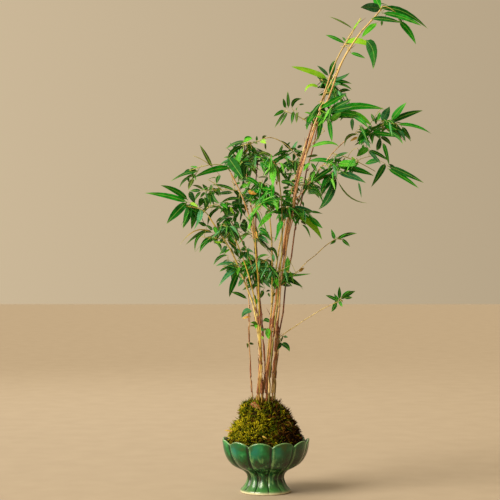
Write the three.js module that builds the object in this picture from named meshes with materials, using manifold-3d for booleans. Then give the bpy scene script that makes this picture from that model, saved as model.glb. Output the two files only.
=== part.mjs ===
// Potted bamboo: a slender clump in a footed bowl with lotus petals, on a mossy root ball.
// Millimetres, +Z up. In the front view +X is to the right and +Y is away.
// The origin is the centre of the bowl's flat underside.
import * as THREE from "three";
import { mergeVertices } from "three/addons/utils/BufferGeometryUtils.js";
import Module from "manifold-3d";

const library = await Module();
library.setup();

// Bowl sizes
const petalCount = 11;
const petalColumns = 4;
const firstGroove = THREE.MathUtils.degToRad(-81.2);
const footRadius = 43;
const waistRadius = 31.8;
const waistHeight = 26.5;
const rimRadius = 74.8;
const rimHeight = 91;
const rimDip = 8;
const wall = 3.6;
const cavityFloor = 41;
const fluteDepth = 2.8;
const footFlute = 0.6;

// Root ball sizes
const ballRadius = 61;
const ballTop = 157;
const ballLean = -7;
const ballColumns = 22;
const lump = 2.2;
const seatGap = 0.3;

// Canes and boughs
const clearance = 0.3;
const footHeight = 143;
const caneSides = 5;
const caneSteps = 10;
const caneTaper = 0.42;
const boughSteps = 6;
const boughTaper = 0.6;
const socketGap = 0.45;

// Twigs: a side twig's girth and length are parts of its stem's.
const twigRadius = 0.75;
const twigTaper = 0.6;
const twigSides = 3;
const sideGirth = 0.75;
const sideLength = 0.42;
const sideVariety = 0.12;

// Leaves: width, thickness and the places of the widest point and the rib are parts of a leaf's length.
const leafWidth = 0.15;
const leafThickness = 0.014;
const leafRoot = 0.5;
const widestPlace = 0.36;
const ribPlace = 0.42;
const leafDroop = 0.5;
const tipAngle = 24;
const seed = 4107;

// The smallest step in a surface that joining keeps
const fineness = 0.06;

// Each cane rises from its foot on the ball to its tip. lean is the sideways slope at foot and at tip.
const canes = [
  { node: "cane_left_outer", foot: [-19, -12], tip: [-96, -36, 469], lean: [0.25, -0.7], girth: 4 },
  { node: "cane_left_inner", foot: [-13, -18], tip: [-58, -64, 443], lean: [0.1, -0.5], girth: 3.2 },
  { node: "cane_left_upper", foot: [-12, 5], tip: [-78, 28, 486], lean: [0, -0.8], girth: 3.2 },
  { node: "cane_left_thin", foot: [-21, 6], tip: [-50, 52, 390], lean: [-0.1, -0.3], girth: 2.4 },
  { node: "cane_apex", foot: [-3, -6], tip: [-59, -10, 543], lean: [-0.15, -0.55], girth: 3.8 },
  { node: "cane_mid_brown", foot: [1, 0], tip: [-13, 26, 572], lean: [0, 0.1], girth: 3 },
  { node: "cane_mid_gold", foot: [-8, 1], tip: [1, -36, 513], lean: [0.15, -0.15], girth: 3.4 },
  { node: "cane_mid_tall", foot: [5, -19], tip: [18, -66, 547], lean: [0, -0.2], girth: 3 },
  { node: "cane_tall_orange", foot: [-1, -15], tip: [195, -12, 820], lean: [0.08, 0.72], girth: 4.6 },
  { node: "cane_tall_brown", foot: [14, -4], tip: [164, 14, 807], lean: [0.04, 0.6], girth: 4 },
  { node: "cane_tall_tan", foot: [6, 5], tip: [143, 42, 758], lean: [-0.02, 0.55], girth: 3.6 },
  { node: "cane_right_back", foot: [13, 9], tip: [108, 70, 697], lean: [0.06, 0.25], girth: 3.4 },
  { node: "cane_right_front", foot: [10, -11], tip: [91, -58, 650], lean: [0.05, 0.35], girth: 3.4 },
  { node: "cane_back_left", foot: [-6, 13], tip: [-34, 104, 556], lean: [0, -0.15], girth: 3.2 },
  { node: "cane_back_right", foot: [5, 15], tip: [64, 92, 520], lean: [0.05, 0.3], girth: 3.2 },
  { node: "cane_front", foot: [-7, -18], tip: [-22, -104, 474], lean: [0, -0.1], girth: 3 },
];

// Each bough leaves a cane at a height and ends at its tip, with its middle raised by bow.
const boughs = [
  { node: "bough_arch", limb: "cane_tall_tan", height: 566, tip: [-4, -6, 599], bow: 17, girth: 2 },
  { node: "bough_fan", limb: "cane_tall_brown", height: 494, tip: [137, -26, 598], bow: 8, girth: 2.4 },
  { node: "bough_reach_low", limb: "cane_tall_brown", height: 262, tip: [115, -8, 320], bow: 4, girth: 1.9 },
  { node: "bough_reach_mid", limb: "cane_tall_brown", height: 352, tip: [119, 10, 429], bow: 5, girth: 1.9 },
];

// Each spray leaves its limb at a height, or at the limb's tip where none is given. turn is the compass
// angle of its stem (0 right, 90 away), rise its angle above level, reach its length, leaf the length of
// its leaves, leaves their number, spread the angle of the lowest leaf and roll the tilt of its plane.
const sprays = [
  { node: "spray_top_tip", limb: "cane_tall_orange", turn: -4, rise: -16,
    reach: 27, leaf: 64, leaves: 8, spread: 95, roll: 80, droop: 0.12 },
  { node: "spray_top_mid", limb: "cane_tall_brown", height: 762, turn: -8, rise: 12,
    reach: 27, leaf: 46, leaves: 7, spread: 80, roll: 80 },
  { node: "spray_top_left", limb: "cane_tall_tan", turn: 165, rise: 20,
    reach: 14, leaf: 40, leaves: 6, spread: 70, roll: 70 },
  { node: "spray_upper_left", limb: "cane_right_back", turn: 172, rise: 40,
    reach: 18, leaf: 50, leaves: 9, spread: 85, roll: 75 },
  { node: "spray_upper_right", limb: "cane_tall_tan", height: 682, turn: 5, rise: 8,
    reach: 26, leaf: 36, leaves: 9, spread: 75, roll: 70 },
  { node: "spray_shoulder", limb: "cane_right_front", turn: -5, rise: -20,
    reach: 34, leaf: 60, leaves: 9, spread: 70, roll: 80 },
  { node: "spray_shoulder_hang", limb: "cane_tall_orange", height: 622, turn: -50, rise: -30,
    reach: 22, leaf: 40, leaves: 8, spread: 75, roll: 60 },
  { node: "spray_small_left", limb: "cane_tall_brown", height: 623, turn: 178, rise: 28,
    reach: 54, leaf: 27, leaves: 11, spread: 80, roll: 85 },
  { node: "spray_fan_out", limb: "bough_fan", turn: 0, rise: 17,
    reach: 92, leaf: 46, leaves: 18, twigs: 2, spread: 62, roll: 75 },
  { node: "spray_fan_hang", limb: "bough_fan", height: 574, turn: 20, rise: -20,
    reach: 84, leaf: 46, leaves: 12, twigs: 1, spread: 68, roll: 75 },
  { node: "spray_fan_drop", limb: "bough_fan", height: 556, turn: -40, rise: -62,
    reach: 42, leaf: 54, leaves: 10, spread: 78, roll: 80 },
  { node: "spray_star", limb: "cane_tall_tan", height: 556, turn: 150, rise: 26,
    reach: 28, leaf: 36, leaves: 11, spread: 90, roll: 70 },
  { node: "spray_bright", limb: "cane_mid_tall", turn: 190, rise: 50,
    reach: 20, leaf: 36, leaves: 11, spread: 90, roll: 65 },
  { node: "spray_heart_right", limb: "cane_tall_orange", height: 478, turn: -20, rise: -6,
    reach: 24, leaf: 60, leaves: 8, spread: 70, roll: 70 },
  { node: "spray_heart_left", limb: "cane_right_front", height: 478, turn: 205, rise: -4,
    reach: 24, leaf: 44, leaves: 9, spread: 75, roll: 65 },
  { node: "spray_bundle", limb: "cane_tall_brown", height: 520, turn: 30, rise: 6,
    reach: 26, leaf: 30, leaves: 8, spread: 80, roll: 60 },
  { node: "spray_crest", limb: "cane_mid_brown", turn: 170, rise: 40,
    reach: 22, leaf: 40, leaves: 12, spread: 90, roll: 65 },
  { node: "spray_core", limb: "cane_mid_gold", turn: 235, rise: 12,
    reach: 34, leaf: 38, leaves: 12, spread: 85, roll: 62 },
  { node: "spray_core_left", limb: "cane_mid_brown", height: 498, turn: 165, rise: 16,
    reach: 30, leaf: 36, leaves: 10, spread: 80, roll: 65 },
  { node: "spray_arch", limb: "bough_arch", turn: 184, rise: -16,
    reach: 44, leaf: 42, leaves: 10, spread: 70, roll: 80 },
  { node: "spray_wing", limb: "cane_apex", turn: 178, rise: 2,
    reach: 70, leaf: 42, leaves: 12, twigs: 1, spread: 60, roll: 75 },
  { node: "spray_lace", limb: "cane_apex", height: 512, turn: 186, rise: 0,
    reach: 58, leaf: 25, leaves: 13, twigs: 1, spread: 70, roll: 80 },
  { node: "spray_left_upper", limb: "cane_left_upper", turn: 178, rise: -12,
    reach: 26, leaf: 34, leaves: 10, spread: 80, roll: 70 },
  { node: "spray_far_left", limb: "cane_left_outer", turn: 182, rise: 18,
    reach: 48, leaf: 66, leaves: 10, spread: 70, roll: 85, droop: 0.5 },
  { node: "spray_left_hang", limb: "cane_left_outer", height: 430, turn: 186, rise: 6,
    reach: 38, leaf: 42, leaves: 10, spread: 65, roll: 78, droop: 0.8 },
  { node: "spray_left_inner", limb: "cane_left_inner", turn: 160, rise: 30,
    reach: 18, leaf: 40, leaves: 10, spread: 90, roll: 65 },
  { node: "spray_low_left", limb: "cane_left_thin", turn: 186, rise: -25,
    reach: 22, leaf: 44, leaves: 9, spread: 80, roll: 75 },
  { node: "spray_low_outer", limb: "cane_left_outer", height: 384, turn: 178, rise: 0,
    reach: 26, leaf: 36, leaves: 9, spread: 75, roll: 70 },
  { node: "spray_low_front", limb: "cane_apex", height: 385, turn: 295, rise: 4,
    reach: 44, leaf: 36, leaves: 12, twigs: 1, spread: 72, roll: 62 },
  { node: "spray_low_heart", limb: "cane_mid_gold", height: 372, turn: 312, rise: 2,
    reach: 44, leaf: 38, leaves: 12, twigs: 1, spread: 72, roll: 62 },
  { node: "spray_low_back", limb: "cane_mid_brown", height: 372, turn: 95, rise: 4,
    reach: 44, leaf: 38, leaves: 12, twigs: 1, spread: 72, roll: 62 },
  { node: "spray_low_right", limb: "cane_tall_brown", height: 364, turn: -15, rise: -2,
    reach: 14, leaf: 38, leaves: 7, spread: 90, roll: 75 },
  { node: "spray_reach_low", limb: "bough_reach_low", turn: 2, rise: 18,
    reach: 17, leaf: 26, leaves: 9, spread: 95, roll: 82 },
  { node: "spray_reach_mid", limb: "bough_reach_mid", turn: 0, rise: -4,
    reach: 10, leaf: 33, leaves: 5, spread: 100, roll: 82 },
  { node: "spray_back_left", limb: "cane_back_left", turn: 110, rise: 4,
    reach: 42, leaf: 44, leaves: 12, twigs: 1, spread: 70, roll: 65 },
  { node: "spray_back_right", limb: "cane_back_right", turn: 60, rise: 4,
    reach: 42, leaf: 44, leaves: 12, twigs: 1, spread: 70, roll: 60 },
  { node: "spray_back_low", limb: "cane_back_left", height: 424, turn: 80, rise: 8,
    reach: 40, leaf: 42, leaves: 11, twigs: 1, spread: 70, roll: 60 },
  { node: "spray_front", limb: "cane_front", turn: 290, rise: 2,
    reach: 36, leaf: 42, leaves: 12, spread: 80, roll: 62 },
];

const up = new THREE.Vector3(0, 0, 1);

// Materials
function finish(color, roughness) {
  return new THREE.MeshStandardMaterial({ color, roughness, metalness: 0 });
}

const glaze = finish("#1c8a57", 0.2);
const moss = finish("#6d6a1a", 0.9);
const caneSkin = finish("#c99a55", 0.5);
const leafGreen = finish("#23752a", 0.4);

// A repeatable stream of numbers from 0 to 1
function randomStream(start) {
  let state = start >>> 0;
  return () => {
    state = (state + 0x6d2b79f5) >>> 0;
    let mixed = Math.imul(state ^ (state >>> 15), state | 1);
    mixed ^= mixed + Math.imul(mixed ^ (mixed >>> 7), mixed | 61);
    return ((mixed ^ (mixed >>> 14)) >>> 0) / 4294967296;
  };
}

// Closed meshes as solids, and back
function weld(geometry) {
  geometry.deleteAttribute("normal");
  geometry.deleteAttribute("uv");
  const welded = mergeVertices(geometry, 1e-4);
  const corners = welded.index.array;
  const kept = [];
  for (let i = 0; i < corners.length; i += 3) {
    const [a, b, c] = corners.subarray(i, i + 3);
    if (a !== b && b !== c && c !== a) kept.push(a, b, c);
  }
  welded.setIndex(kept);
  return welded;
}

function solidFrom(geometry) {
  const welded = weld(geometry);
  const vertProperties = new Float32Array(welded.attributes.position.array);
  const triVerts = new Uint32Array(welded.index.array);
  return new library.Manifold(new library.Mesh({ numProp: 3, vertProperties, triVerts }));
}

function geometryFrom(solid) {
  const mesh = solid.getMesh();
  const geometry = new THREE.BufferGeometry();
  geometry.setAttribute("position", new THREE.BufferAttribute(new Float32Array(mesh.vertProperties), 3));
  geometry.setIndex(Array.from(mesh.triVerts));
  geometry.computeVertexNormals();
  return geometry;
}

// Joins solids and keeps the one outer body, so a sealed hollow is filled and a loose scrap is dropped.
function fuse(solids) {
  const joined = library.Manifold.union(solids).simplify(fineness);
  return joined.decompose().reduce((best, part) => (part.volume() > best.volume() ? part : best));
}

function reshape(geometry, move) {
  const position = geometry.attributes.position;
  const point = new THREE.Vector3();
  for (let i = 0; i < position.count; i++) {
    move(point.fromBufferAttribute(position, i), i);
    position.setXYZ(i, point.x, point.y, point.z);
  }
  return geometry;
}

// Bowl
const outerWall = new THREE.SplineCurve([
  new THREE.Vector2(footRadius, 4.5),
  new THREE.Vector2(35.5, 13.5),
  new THREE.Vector2(waistRadius, waistHeight),
  new THREE.Vector2(38, 36.5),
  new THREE.Vector2(56.5, 47.5),
  new THREE.Vector2(68.5, 64),
  new THREE.Vector2(rimRadius, rimHeight - 2),
]);
const innerWall = new THREE.SplineCurve([
  new THREE.Vector2(rimRadius - wall, rimHeight - 1),
  new THREE.Vector2(68.5 - wall * 1.3, 66),
  new THREE.Vector2(50, 50),
  new THREE.Vector2(20, cavityFloor + 1),
]);
const innerRows = innerWall.getSpacedPoints(6);

// The outline of one petal: 0 in the groove on either side, 1 along its middle
function petalBulge(angle) {
  const across = ((angle - firstGroove) / (2 * Math.PI)) * petalCount;
  return Math.pow(Math.abs(Math.sin(Math.PI * across)), 0.7);
}

function bowlGeometry() {
  const outline = [
    new THREE.Vector2(0, 0),
    new THREE.Vector2(footRadius - 1.5, 0),
    new THREE.Vector2(footRadius, 1.5),
    ...outerWall.getSpacedPoints(11),
    new THREE.Vector2(rimRadius - wall / 2, rimHeight),
    ...innerRows,
    new THREE.Vector2(0, cavityFloor),
  ];
  const rimRow = outline.findIndex((point) => point.y === rimHeight);
  // A lathe counts its turn from the front, a quarter turn before the compass angle.
  const bowl = new THREE.LatheGeometry(outline, petalCount * petalColumns, firstGroove + Math.PI / 2);
  bowl.rotateX(Math.PI / 2);
  return reshape(bowl, (point, i) => {
    const row = i % outline.length;
    const radius = Math.hypot(point.x, point.y);
    if (radius < 1) return;
    const groove = 1 - petalBulge(Math.atan2(point.y, point.x));
    const height = point.z;
    const nearRim = THREE.MathUtils.smoothstep(height, 58, rimHeight);
    const outerFlute = THREE.MathUtils.lerp(footFlute, fluteDepth, THREE.MathUtils.smoothstep(height, 2, 18));
    const flute = row <= rimRow ? outerFlute : fluteDepth * nearRim;
    const scale = 1 - (flute * groove) / radius;
    point.set(point.x * scale, point.y * scale, height - rimDip * groove * nearRim);
  });
}

// Root ball: seated on the bowl's inner wall below, domed and lumpy above
function ballGeometry() {
  const seat = innerRows
    .filter((point) => point.x < ballRadius - 1)
    .map((point) => new THREE.Vector2(point.x - seatGap, point.y + seatGap))
    .reverse();
  const outline = [
    new THREE.Vector2(0, cavityFloor + seatGap),
    ...seat,
    new THREE.Vector2(ballRadius - 1, 74),
    new THREE.Vector2(ballRadius, 86),
    new THREE.Vector2(ballRadius - 2, 100),
    new THREE.Vector2(ballRadius - 9, 115),
    new THREE.Vector2(ballRadius - 18, 131),
    new THREE.Vector2(ballRadius - 26, 145),
    new THREE.Vector2(ballRadius - 38, 154),
    new THREE.Vector2(0, ballTop),
  ];
  const ball = new THREE.LatheGeometry(outline, ballColumns);
  ball.rotateX(Math.PI / 2);
  return reshape(ball, (point) => {
    const above = THREE.MathUtils.smoothstep(point.z, 80, 105);
    const angle = Math.atan2(point.y, point.x);
    const wave = Math.sin(3 * angle + point.z / 9) + Math.sin(7 * angle - point.z / 6);
    const radius = Math.max(Math.hypot(point.x, point.y), 1e-6);
    const scale = 1 + (0.5 * lump * above * wave * Math.min(1, radius / 20)) / radius;
    const lean = (ballLean * (point.z - 80)) / (ballTop - 80);
    point.x = point.x * scale + lean * above;
    point.y *= scale;
  });
}

// A limb bent along a curve, tapering from one radius to another
function bentLimb(curve, thick, thin, sides, steps) {
  const frames = curve.computeFrenetFrames(steps, false);
  const limb = new THREE.CylinderGeometry(thin, thick, 1, sides, steps);
  return reshape(limb, (point) => {
    const step = Math.round((point.y + 0.5) * steps);
    const sideways = frames.normals[step].clone().multiplyScalar(point.x);
    const across = frames.binormals[step].clone().multiplyScalar(-point.z);
    point.copy(curve.getPointAt(step / steps)).add(sideways).add(across);
  });
}

// Limbs: each keeps its curve, the points of its straight lengths and its radius at foot and tip
const limbs = new Map();

function addLimb(node, curve, girth, taper, steps) {
  const foot = girth / 2;
  const tip = foot * taper;
  const solid = solidFrom(bentLimb(curve, foot, tip, caneSides, steps));
  limbs.set(node, { curve, points: curve.getSpacedPoints(steps), foot, tip, solid });
}

function caneCurve({ foot, tip, lean }) {
  const start = new THREE.Vector3(foot[0], foot[1], footHeight);
  const end = new THREE.Vector3(...tip);
  const third = (end.z - start.z) / 3;
  const awaySlope = (end.y - start.y) / (end.z - start.z);
  const low = start.clone().add(new THREE.Vector3(lean[0], awaySlope * 0.5, 1).multiplyScalar(third));
  const high = end.clone().sub(new THREE.Vector3(lean[1], awaySlope, 1).multiplyScalar(third));
  return new THREE.CubicBezierCurve3(start, low, high, end);
}

// The place on a limb's skin of straight lengths at a height, or at its tip
function placeOn(limb, height) {
  const { curve, points, foot, tip } = limbs.get(limb);
  if (height === undefined) {
    return { atTip: true, point: curve.getPoint(1), along: curve.getTangent(1), radius: tip };
  }
  const above = points.findIndex((point) => point.z > height);
  const low = points[above - 1];
  const high = points[above];
  const part = (height - low.z) / (high.z - low.z);
  const along = high.clone().sub(low).normalize();
  const radius = THREE.MathUtils.lerp(foot, tip, (above - 1 + part) / (points.length - 1));
  return { atTip: false, point: low.clone().lerp(high, part), along, radius };
}

// A side limb's start: just clear of the limb that carries it, and the way it sets out
function branchStart(place, aim, radius) {
  if (place.atTip) {
    const start = place.point.clone().addScaledVector(place.along, clearance);
    return { start, way: place.along.clone() };
  }
  const outward = aim.clone().addScaledVector(place.along, -aim.dot(place.along)).normalize();
  const start = place.point.clone().addScaledVector(outward, place.radius + clearance + 0.7 * radius);
  const way = outward.addScaledVector(place.along, 0.5).normalize();
  return { start, way };
}

function boughCurve({ limb, height, tip, bow, girth }) {
  const place = placeOn(limb, height);
  const end = new THREE.Vector3(...tip);
  const aim = end.clone().sub(place.point);
  const reach = aim.length();
  const { start, way } = branchStart(place, aim.normalize(), girth / 2);
  const low = start.clone().addScaledVector(way, reach * 0.12);
  const high = start.clone().lerp(end, 0.6).addScaledVector(up, bow * 1.6);
  return new THREE.CubicBezierCurve3(start, low, high, end);
}

// Leaf: an octahedron whose corners are moved to a blade's root, edges, rib and tip
function leafSolid({ root, direction, normal, length }) {
  const half = (leafWidth * length) / 2;
  const widest = widestPlace * length;
  const thick = leafThickness * length;
  const corners = {
    "1,0,0": [half, widest, 2 * thick],
    "-1,0,0": [-half, widest, 2 * thick],
    "0,1,0": [0, length, 0],
    "0,-1,0": [0, 0, leafRoot / 2],
    "0,0,1": [0, ribPlace * length, thick],
    "0,0,-1": [0, 0, -leafRoot / 2],
  };
  const blade = reshape(new THREE.OctahedronGeometry(1), (point) => {
    const corner = point.toArray().map((value) => Math.round(value) + 0);
    point.fromArray(corners[corner.join(",")]);
  });
  const side = new THREE.Vector3().crossVectors(direction, normal);
  blade.applyMatrix4(new THREE.Matrix4().makeBasis(side, direction, normal).setPosition(root));
  return solidFrom(blade);
}

// A direction from a compass turn and a rise above level, both in degrees
function headingOf({ turn, rise }) {
  const around = THREE.MathUtils.degToRad(turn);
  const climb = THREE.MathUtils.degToRad(rise);
  const flat = Math.cos(climb);
  return new THREE.Vector3(Math.cos(around) * flat, Math.sin(around) * flat, Math.sin(climb));
}

// The side of a shoot on which its i-th leaf or twig stands: one side and the other by turns
function rankSide(plane, axis, i) {
  const rank = i % 2 === 0 ? 1 : -1;
  return new THREE.Vector3().crossVectors(plane, axis).multiplyScalar(rank);
}

function stemCurve({ limb, height, reach }, aim) {
  const { start, way } = branchStart(placeOn(limb, height), aim, twigRadius);
  const bend = start.clone().addScaledVector(way, 0.4 * reach);
  return new THREE.QuadraticBezierCurve3(start, bend, start.clone().addScaledVector(aim, reach));
}

function twigCurve(stem, plane, i, twigs, span) {
  const place = 0.3 + (0.45 * (i + 0.5)) / twigs;
  const axis = stem.getTangentAt(place);
  const side = rankSide(plane, axis, i);
  const course = axis.clone().multiplyScalar(0.75).addScaledVector(side, 0.65).normalize();
  const root = stem.getPointAt(place);
  const middle = root.clone().addScaledVector(course, 0.5 * span).addScaledVector(up, 0.06 * span);
  const tip = root.clone().addScaledVector(course, span).addScaledVector(up, -0.08 * span);
  return new THREE.QuadraticBezierCurve3(root, middle, tip);
}

// The leaves of one shoot: wide open at its foot, closing towards its tip, with the last leaf straight on
function leavesOn(shoot, count, plane, spray, random) {
  const { leaf, spread, droop = leafDroop } = spray;
  const leaves = [];
  for (let i = 0; i < count; i++) {
    const place = shoot.bare + ((0.98 - shoot.bare) * i) / (count - 1);
    const axis = shoot.curve.getTangentAt(place);
    const side = rankSide(plane, axis, i);
    const open = THREE.MathUtils.lerp(spread, tipAngle, place);
    const angle = THREE.MathUtils.degToRad(i === count - 1 ? 4 : open + 14 * (random() - 0.5));
    const tilt = 0.5 * (random() - 0.5);
    const direction = axis.clone().multiplyScalar(Math.cos(angle)).addScaledVector(side, Math.sin(angle));
    direction.addScaledVector(plane, tilt).addScaledVector(up, -droop * (0.4 + random())).normalize();
    const length = leaf * (0.78 + 0.2 * Math.sin(Math.PI * place) + 0.24 * random());
    const normal = plane.clone().addScaledVector(side, 0.4 * (random() - 0.5));
    normal.addScaledVector(direction, -normal.dot(direction)).normalize();
    leaves.push({ root: shoot.curve.getPointAt(place), direction, normal, length });
  }
  return leaves;
}

// The seeded rule of a spray: one stem, side twigs in two ranks, and leaves in two ranks along them all
function growSpray(spray, order) {
  const random = randomStream(seed + 31 * order);
  const { reach, twigs = 0 } = spray;
  const aim = headingOf(spray);
  const stem = stemCurve(spray, aim);
  const level = up.clone().addScaledVector(aim, -up.dot(aim)).normalize();
  const plane = level.applyAxisAngle(aim, THREE.MathUtils.degToRad(spray.roll));
  const shoots = [{ curve: stem, radius: twigRadius, steps: 4, bare: twigs > 0 ? 0.3 : 0.12 }];
  for (let i = 0; i < twigs; i++) {
    const span = reach * (sideLength + sideVariety * random());
    const curve = twigCurve(stem, plane, i, twigs, span);
    shoots.push({ curve, radius: sideGirth * twigRadius, steps: 2, bare: 0.12 });
  }
  const perTwig = Math.floor(spray.leaves / (twigs + 1.6));
  shoots.forEach((shoot, i) => {
    const count = i === 0 ? spray.leaves - perTwig * twigs : perTwig;
    shoot.leaves = leavesOn(shoot, count, plane, spray, random);
  });
  const middle = stem.getPoint(0).lerp(stem.getPoint(1), 0.5);
  return { shoots, middle, space: reach / 2 + 1.3 * spray.leaf };
}

// A piece may not leave its spray's space, or come near a limb or another spray.
function fits(piece, far, grown, taken) {
  if (far.distanceTo(grown.middle) > grown.space) return false;
  return taken.every((other) => piece.minGap(other, clearance) >= clearance);
}

function spraySolid(spray, order, taken) {
  const grown = growSpray(spray, order);
  const kept = [];
  grown.shoots.forEach(({ curve, radius, steps, leaves }, i) => {
    const twig = solidFrom(bentLimb(curve, radius, twigTaper * radius, twigSides, steps));
    if (i > 0 && !fits(twig, curve.getPoint(1), grown, taken)) return;
    kept.push(twig);
    for (const leaf of leaves) {
      const blade = leafSolid(leaf);
      const tip = leaf.root.clone().addScaledVector(leaf.direction, leaf.length);
      if (fits(blade, tip, grown, taken)) kept.push(blade);
    }
  });
  return fuse(kept);
}

// Assembly
const plant = new THREE.Group();

function addMesh(node, geometry, material) {
  const mesh = new THREE.Mesh(geometry, material);
  mesh.name = node;
  plant.add(mesh);
}

canes.forEach((cane) => addLimb(cane.node, caneCurve(cane), cane.girth, caneTaper, caneSteps));
boughs.forEach((bough) => addLimb(bough.node, boughCurve(bough), bough.girth, boughTaper, boughSteps));

// The ball has a socket round the foot of each cane.
const sockets = canes.map(({ node }) => {
  const { curve, foot, tip } = limbs.get(node);
  const socket = bentLimb(curve, foot + socketGap, tip + socketGap, caneSides, caneSteps);
  return solidFrom(socket.translate(0, 0, -clearance));
});
const ball = sockets.reduce((left, socket) => left.subtract(socket), solidFrom(ballGeometry()));

addMesh("pot", weld(bowlGeometry()), glaze);
addMesh("root_ball", geometryFrom(fuse([ball])), moss);
limbs.forEach(({ solid }, node) => addMesh(node, geometryFrom(solid), caneSkin));

const taken = [...limbs.values()].map(({ solid }) => solid);
sprays.forEach((spray, order) => {
  const solid = spraySolid(spray, order, taken);
  taken.push(solid);
  addMesh(spray.node, geometryFrom(solid), leafGreen);
});

export default plant;
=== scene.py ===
import math

import bpy
import numpy as np
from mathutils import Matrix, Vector


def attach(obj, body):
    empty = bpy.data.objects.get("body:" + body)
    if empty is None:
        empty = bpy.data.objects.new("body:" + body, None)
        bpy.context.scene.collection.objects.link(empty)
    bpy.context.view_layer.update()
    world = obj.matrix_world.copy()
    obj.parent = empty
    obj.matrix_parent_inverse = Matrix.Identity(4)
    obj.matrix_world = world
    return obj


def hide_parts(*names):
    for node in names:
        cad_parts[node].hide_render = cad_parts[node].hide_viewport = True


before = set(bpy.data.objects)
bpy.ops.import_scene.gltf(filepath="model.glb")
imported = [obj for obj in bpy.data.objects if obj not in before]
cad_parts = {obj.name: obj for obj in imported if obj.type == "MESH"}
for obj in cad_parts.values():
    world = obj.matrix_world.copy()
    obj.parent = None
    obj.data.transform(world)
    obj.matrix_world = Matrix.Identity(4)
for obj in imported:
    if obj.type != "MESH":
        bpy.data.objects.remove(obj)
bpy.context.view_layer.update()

MM = 0.001
UP = np.array([0.0, 0.0, 1.0])
upper_side = np.array([0.0, -0.4, 1.0])
key_light = np.array([-0.88, -0.56, 0.7])

# Bowl sizes
petal_count = 11
first_groove = math.radians(-81.2)
foot_radius = 43
waist_radius = 31.8
waist_height = 26.5
rim_radius = 74.8
rim_height = 91
rim_dip = 8
wall = 3.6
cavity_floor = 41
flute_depth = 2.8
foot_flute = 0.6
petal_steps = 30
ridge_height = 1.1
groove_depth = 2.4
belly_swell = 1.2
# A petal has a ridge along one edge and a groove beside it: the place of each across the petal, from
# 0 to 1, and its spread.
ridge_place = (0.055, 0.045)
cut_place = (0.965, 0.035)
# The flutes, the ridges and the belly of a petal set in and fade out between these heights.
inner_flute_foot = 58
flute_start = (2, 18)
ridge_start = (3, 14)
ridge_end = (80, 92)
belly_start = (30, 50)
belly_end = (74, 90)
# The glaze turns from its upper to its darker lower look, which is partly painted shade, and to the lighter
# green of the foot, partly a painted highlight, between these heights.
upper_glaze = 72
lower_glaze = 56
foot_glaze = 24
foot_edge_glaze = 8

# Root ball sizes
ball_radius = 61
ball_top = 157
ball_lean = -7
lump = 2.2
seat_gap = 0.3
moss_length = 9.5
moss_width = 2.5
moss_count = 9000
ball_columns = 180
ball_middle = 95
dent = 10
dent_height = 122
dent_turn = math.radians(186)
husk_clearance = 2

# Canes and boughs. A limb is slimmest at its foot, for its girth, and fills out towards its tip.
# Its nodes stand about an internode apart, closer on a short limb and below full_internode, and carry
# more sheaths below low_nodes.
foot_height = 143
cane_taper = 0.42
bough_taper = 0.6
foot_slimness = 0.76
cane_filling = 0.6
bough_filling = 0.3
cane_sides = 12
thickest_foot = 2.3
first_cane_node = 26
first_bough_node = 8
low_nodes = 150
internode = 46
node_zigzag = 1.6
station_gap = 7.0
least_gap = 0.35
sample_gap = 4.0
blunt_end = 0.6
short_limb = 200
last_node_gap = 4
full_internode = 160
scar_reach = 2.2
bloom_reach = 7.0
# Stations kept round each node, by their distance from it
node_stations = np.array([-3.2, -1.6, -0.7, 0, 0.5, 1.1, 1.9, 3.0, 4.6])
# Sheaths, buds and dry stubs: the chance of one at a node, the part of them that is red, and sizes
sheath_thickness = 0.22
sheath_wrap = math.radians(165)
sheath_tip = math.radians(6)
low_sheaths = {"chance": 0.65, "red": 0.75, "height": (18, 34)}
high_sheaths = {"chance": 0.2, "red": 0.4, "height": (10, 20)}
bud_chance = 0.4
bud_length = (3, 6)
bud_radius = 0.9
stub_length = (8, 16)
stub_radius = 0.5
# The skin is stained below stain_top and young and pale above young_foot, each in full further on.
stain_top = 280
stain_full = 170
young_foot = 600
young_full = 740

# Twigs: a side twig's girth and length are parts of its stem's.
twig_radius = 0.85
twig_taper = 0.6
side_girth = 0.75
side_length = 0.42
side_variety = 0.12
# A leaf of the front that lies further than least_twig from its shoot hangs by a fine twig, a thicker one
# beyond long_twig. A shoot carries finer_twigs more, and a stem depth_twigs that point away or forward.
fine_twig_radius = 0.5
fine_twig_taper = 0.75
least_twig = 0.8
long_twig = 15
twig_sides = 6
twig_stations = 7
shoot_samples = 14
finer_twigs = 7
depth_twigs = 12
least_depth = 34

# Leaves: a leaf's width is a part of its length, at most widest_seen of what is seen of it and
# widest_blade of all of it. A leaf of the front leans away by chance, in proportion to lean_length at
# most. The finer twigs carry smaller leaves, finer_leaves each.
leaf_width = 0.165
leaf_droop = 0.5
tip_angle = 24
leaf_thickness = 0.3
leaf_fold = 0.16
vein_spacing = 2.2
sharp_fold = math.radians(26)
longest_leaf = 70
widest_seen = 0.45
widest_blade = 0.34
lean_variety = 0.33
lean_length = 45
tilt_variety = 0.4
most_tilt = 0.8
bright_tilt = 0.4
low_leaf_height = 330
finer_leaves = 5
longest_finer_leaf = 44
finer_leaf_part = 0.8
finer_spread = 68
finer_droop = 0.9
small_leaf_pixels = (6.5, 13)
seed = 4107

# The camera stands level in front of the plant, and a pixel at the plant's middle is pixel_size wide.
# twist_loss makes up for the width that a leaf loses to sight by its fold and twist, broadest is the
# greatest width of a leaf as a part of its length, and spot_margin is how far foliage reaches beyond a
# leaf.
camera_x = -26.35
camera_distance = 2600
camera_height = 410.9
pixel_size = 1.7
image_middle = 250
twist_loss = 1.2
broadest = 0.25
spot_margin = 1.2

# Floor
floor_reach = 9000
floor_level = -0.3

# Tones of the leaves, as each leaf looks: deep is partly painted shade, bright partly painted light and grey
# partly a painted sheen
DEEP, MID, BRIGHT, LIME, GREY, OLIVE, DRY, HUSK = range(8)

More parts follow.
